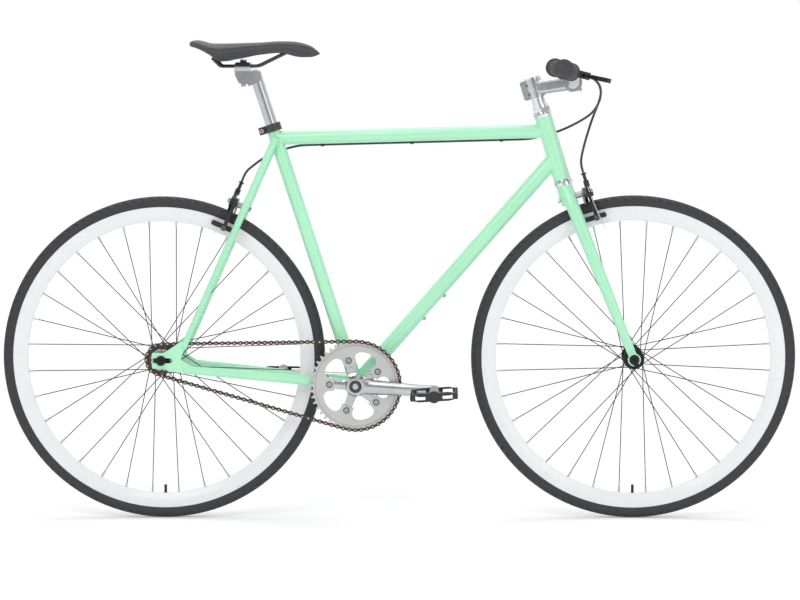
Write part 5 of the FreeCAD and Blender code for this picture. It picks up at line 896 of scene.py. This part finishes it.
class BICYCLE_OT_stage(bpy.types.Operator):
    """Sets the floor, the soft studio light and the camera."""

    bl_idname = "bicycle.stage"
    bl_label = "Stage"

    reach = 12.0
    far_glow = 2.5
    room = ((0.42, 0.42, 0.43), (1.0, 1.0, 1.0))
    lamps = (("key", (-1.4, -3.2, 3.4), 2.6, 55.0), ("fill", (2.6, -3.0, 1.6), 2.2, 22.0),
             ("top", (0.2, 0.8, 4.0), 3.0, 45.0))
    lamp_aim = (0.0, 0.0, 0.5)

    def execute(self, context):
        self.lay_floor(context.scene)
        self.light_room(context.scene)
        self.hang_lamps(context.scene)
        self.set_camera(context.scene)
        context.scene.view_settings.view_transform = "Standard"
        return {"FINISHED"}

    def lay_floor(self, scene):
        """Pale floor that is lifted towards white, more so far off, where it is seen or mirrored."""
        corners = [(x * self.reach, y * self.reach, 0.0) for x, y in ((-1, -1), (1, -1), (1, 1), (-1, 1))]
        colour = tuple(scene.bicycle_colours.floor)
        glow = scene.bicycle_stage.glow

        def paint(c):
            seen = c.rays("Is Camera Ray", "Is Glossy Ray", "Is Transmission Ray")
            far = c.from_point((0.0, 0.0, 0.0)).above(1.0, 6.0)
            lift = c.mix(far, (glow,) * 3, (glow * self.far_glow,) * 3)
            return {"colour": c.mix(c.noise(3.0), dressed(colour, 0.99), colour),
                    "roughness": 0.8 + c.noise(40.0) * 0.1, "glow": c.mix(seen, (0.0, 0.0, 0.0), lift),
                    "specular": 0.0}

        floor = polygons("floor", corners, [(0, 1, 2, 3)])
        floor.data.materials.append(surface("floor", paint))

    def light_room(self, scene):
        """White surroundings, dimmer as a light, whose mirror image darkens towards the viewer."""
        world = bpy.data.worlds.new("studio")
        world.use_nodes = True
        canvas = Canvas(world.node_tree, "Generated")
        mirrored = canvas.mix(canvas.y.above(-0.7, 0.25), *self.room)
        light = canvas.mix(canvas.rays("Is Glossy Ray", "Is Transmission Ray"),
                           (scene.bicycle_stage.light,) * 3, mirrored)
        canvas.link(canvas.mix(canvas.rays("Is Camera Ray"), light, (1.0, 1.0, 1.0)),
                    world.node_tree.nodes["Background"].inputs["Color"])
        scene.world = world

    def hang_lamps(self, scene):
        for name, spot, size, power in self.lamps:
            lamp = bpy.data.lights.new(name, "AREA")
            lamp.size = size
            lamp.energy = power
            holder = bpy.data.objects.new(name, lamp)
            holder.location = spot
            sight = Vector(self.lamp_aim) - holder.location
            holder.rotation_euler = sight.to_track_quat("-Z", "Y").to_euler()
            scene.collection.objects.link(holder)

    def set_camera(self, scene):
        stage = scene.bicycle_stage
        camera = bpy.data.objects.new("camera", bpy.data.cameras.new("camera"))
        camera.data.lens = stage.lens
        camera.location = stage.eye
        sight = (Vector(stage.aim) - Vector(stage.eye)).to_track_quat("-Z", "Y")
        camera.rotation_euler = (sight @ Quaternion((0.0, 0.0, 1.0), stage.roll)).to_euler()
        scene.collection.objects.link(camera)
        scene.camera = camera


class BICYCLE_PT_panel(bpy.types.Panel):
    """Lists the bicycle's settings and operators."""

    bl_idname = "BICYCLE_PT_panel"
    bl_label = "Bicycle"
    bl_space_type = "VIEW_3D"
    bl_region_type = "UI"
    bl_category = "Bicycle"

    def draw(self, context):
        for group in (context.scene.bicycle_colours, context.scene.bicycle_sizes, context.scene.bicycle_stage):
            box = self.layout.box()
            for key in group.bl_rna.properties.keys():
                if key not in ("rna_type", "name"):
                    box.prop(group, key)
        for operator in OPERATORS:
            self.layout.operator(operator.bl_idname)


OPERATORS = (BICYCLE_OT_surfaces, BICYCLE_OT_tyres, BICYCLE_OT_saddle, BICYCLE_OT_cables, BICYCLE_OT_stage)
CLASSES = (BicycleColours, BicycleSizes, BicycleStage) + OPERATORS + (BICYCLE_PT_panel,)


def register():
    for item in CLASSES:
        bpy.utils.register_class(item)
    bpy.types.Scene.bicycle_colours = bpy.props.PointerProperty(type=BicycleColours)
    bpy.types.Scene.bicycle_sizes = bpy.props.PointerProperty(type=BicycleSizes)
    bpy.types.Scene.bicycle_stage = bpy.props.PointerProperty(type=BicycleStage)


def unregister():
    del bpy.types.Scene.bicycle_colours
    del bpy.types.Scene.bicycle_sizes
    del bpy.types.Scene.bicycle_stage
    for item in reversed(CLASSES):
        bpy.utils.unregister_class(item)


def main():
    register()
    bpy.ops.bicycle.surfaces()
    bpy.ops.bicycle.tyres()
    bpy.ops.bicycle.saddle()
    bpy.ops.bicycle.cables()
    bpy.ops.bicycle.stage()


if __name__ == "__main__":
    main()
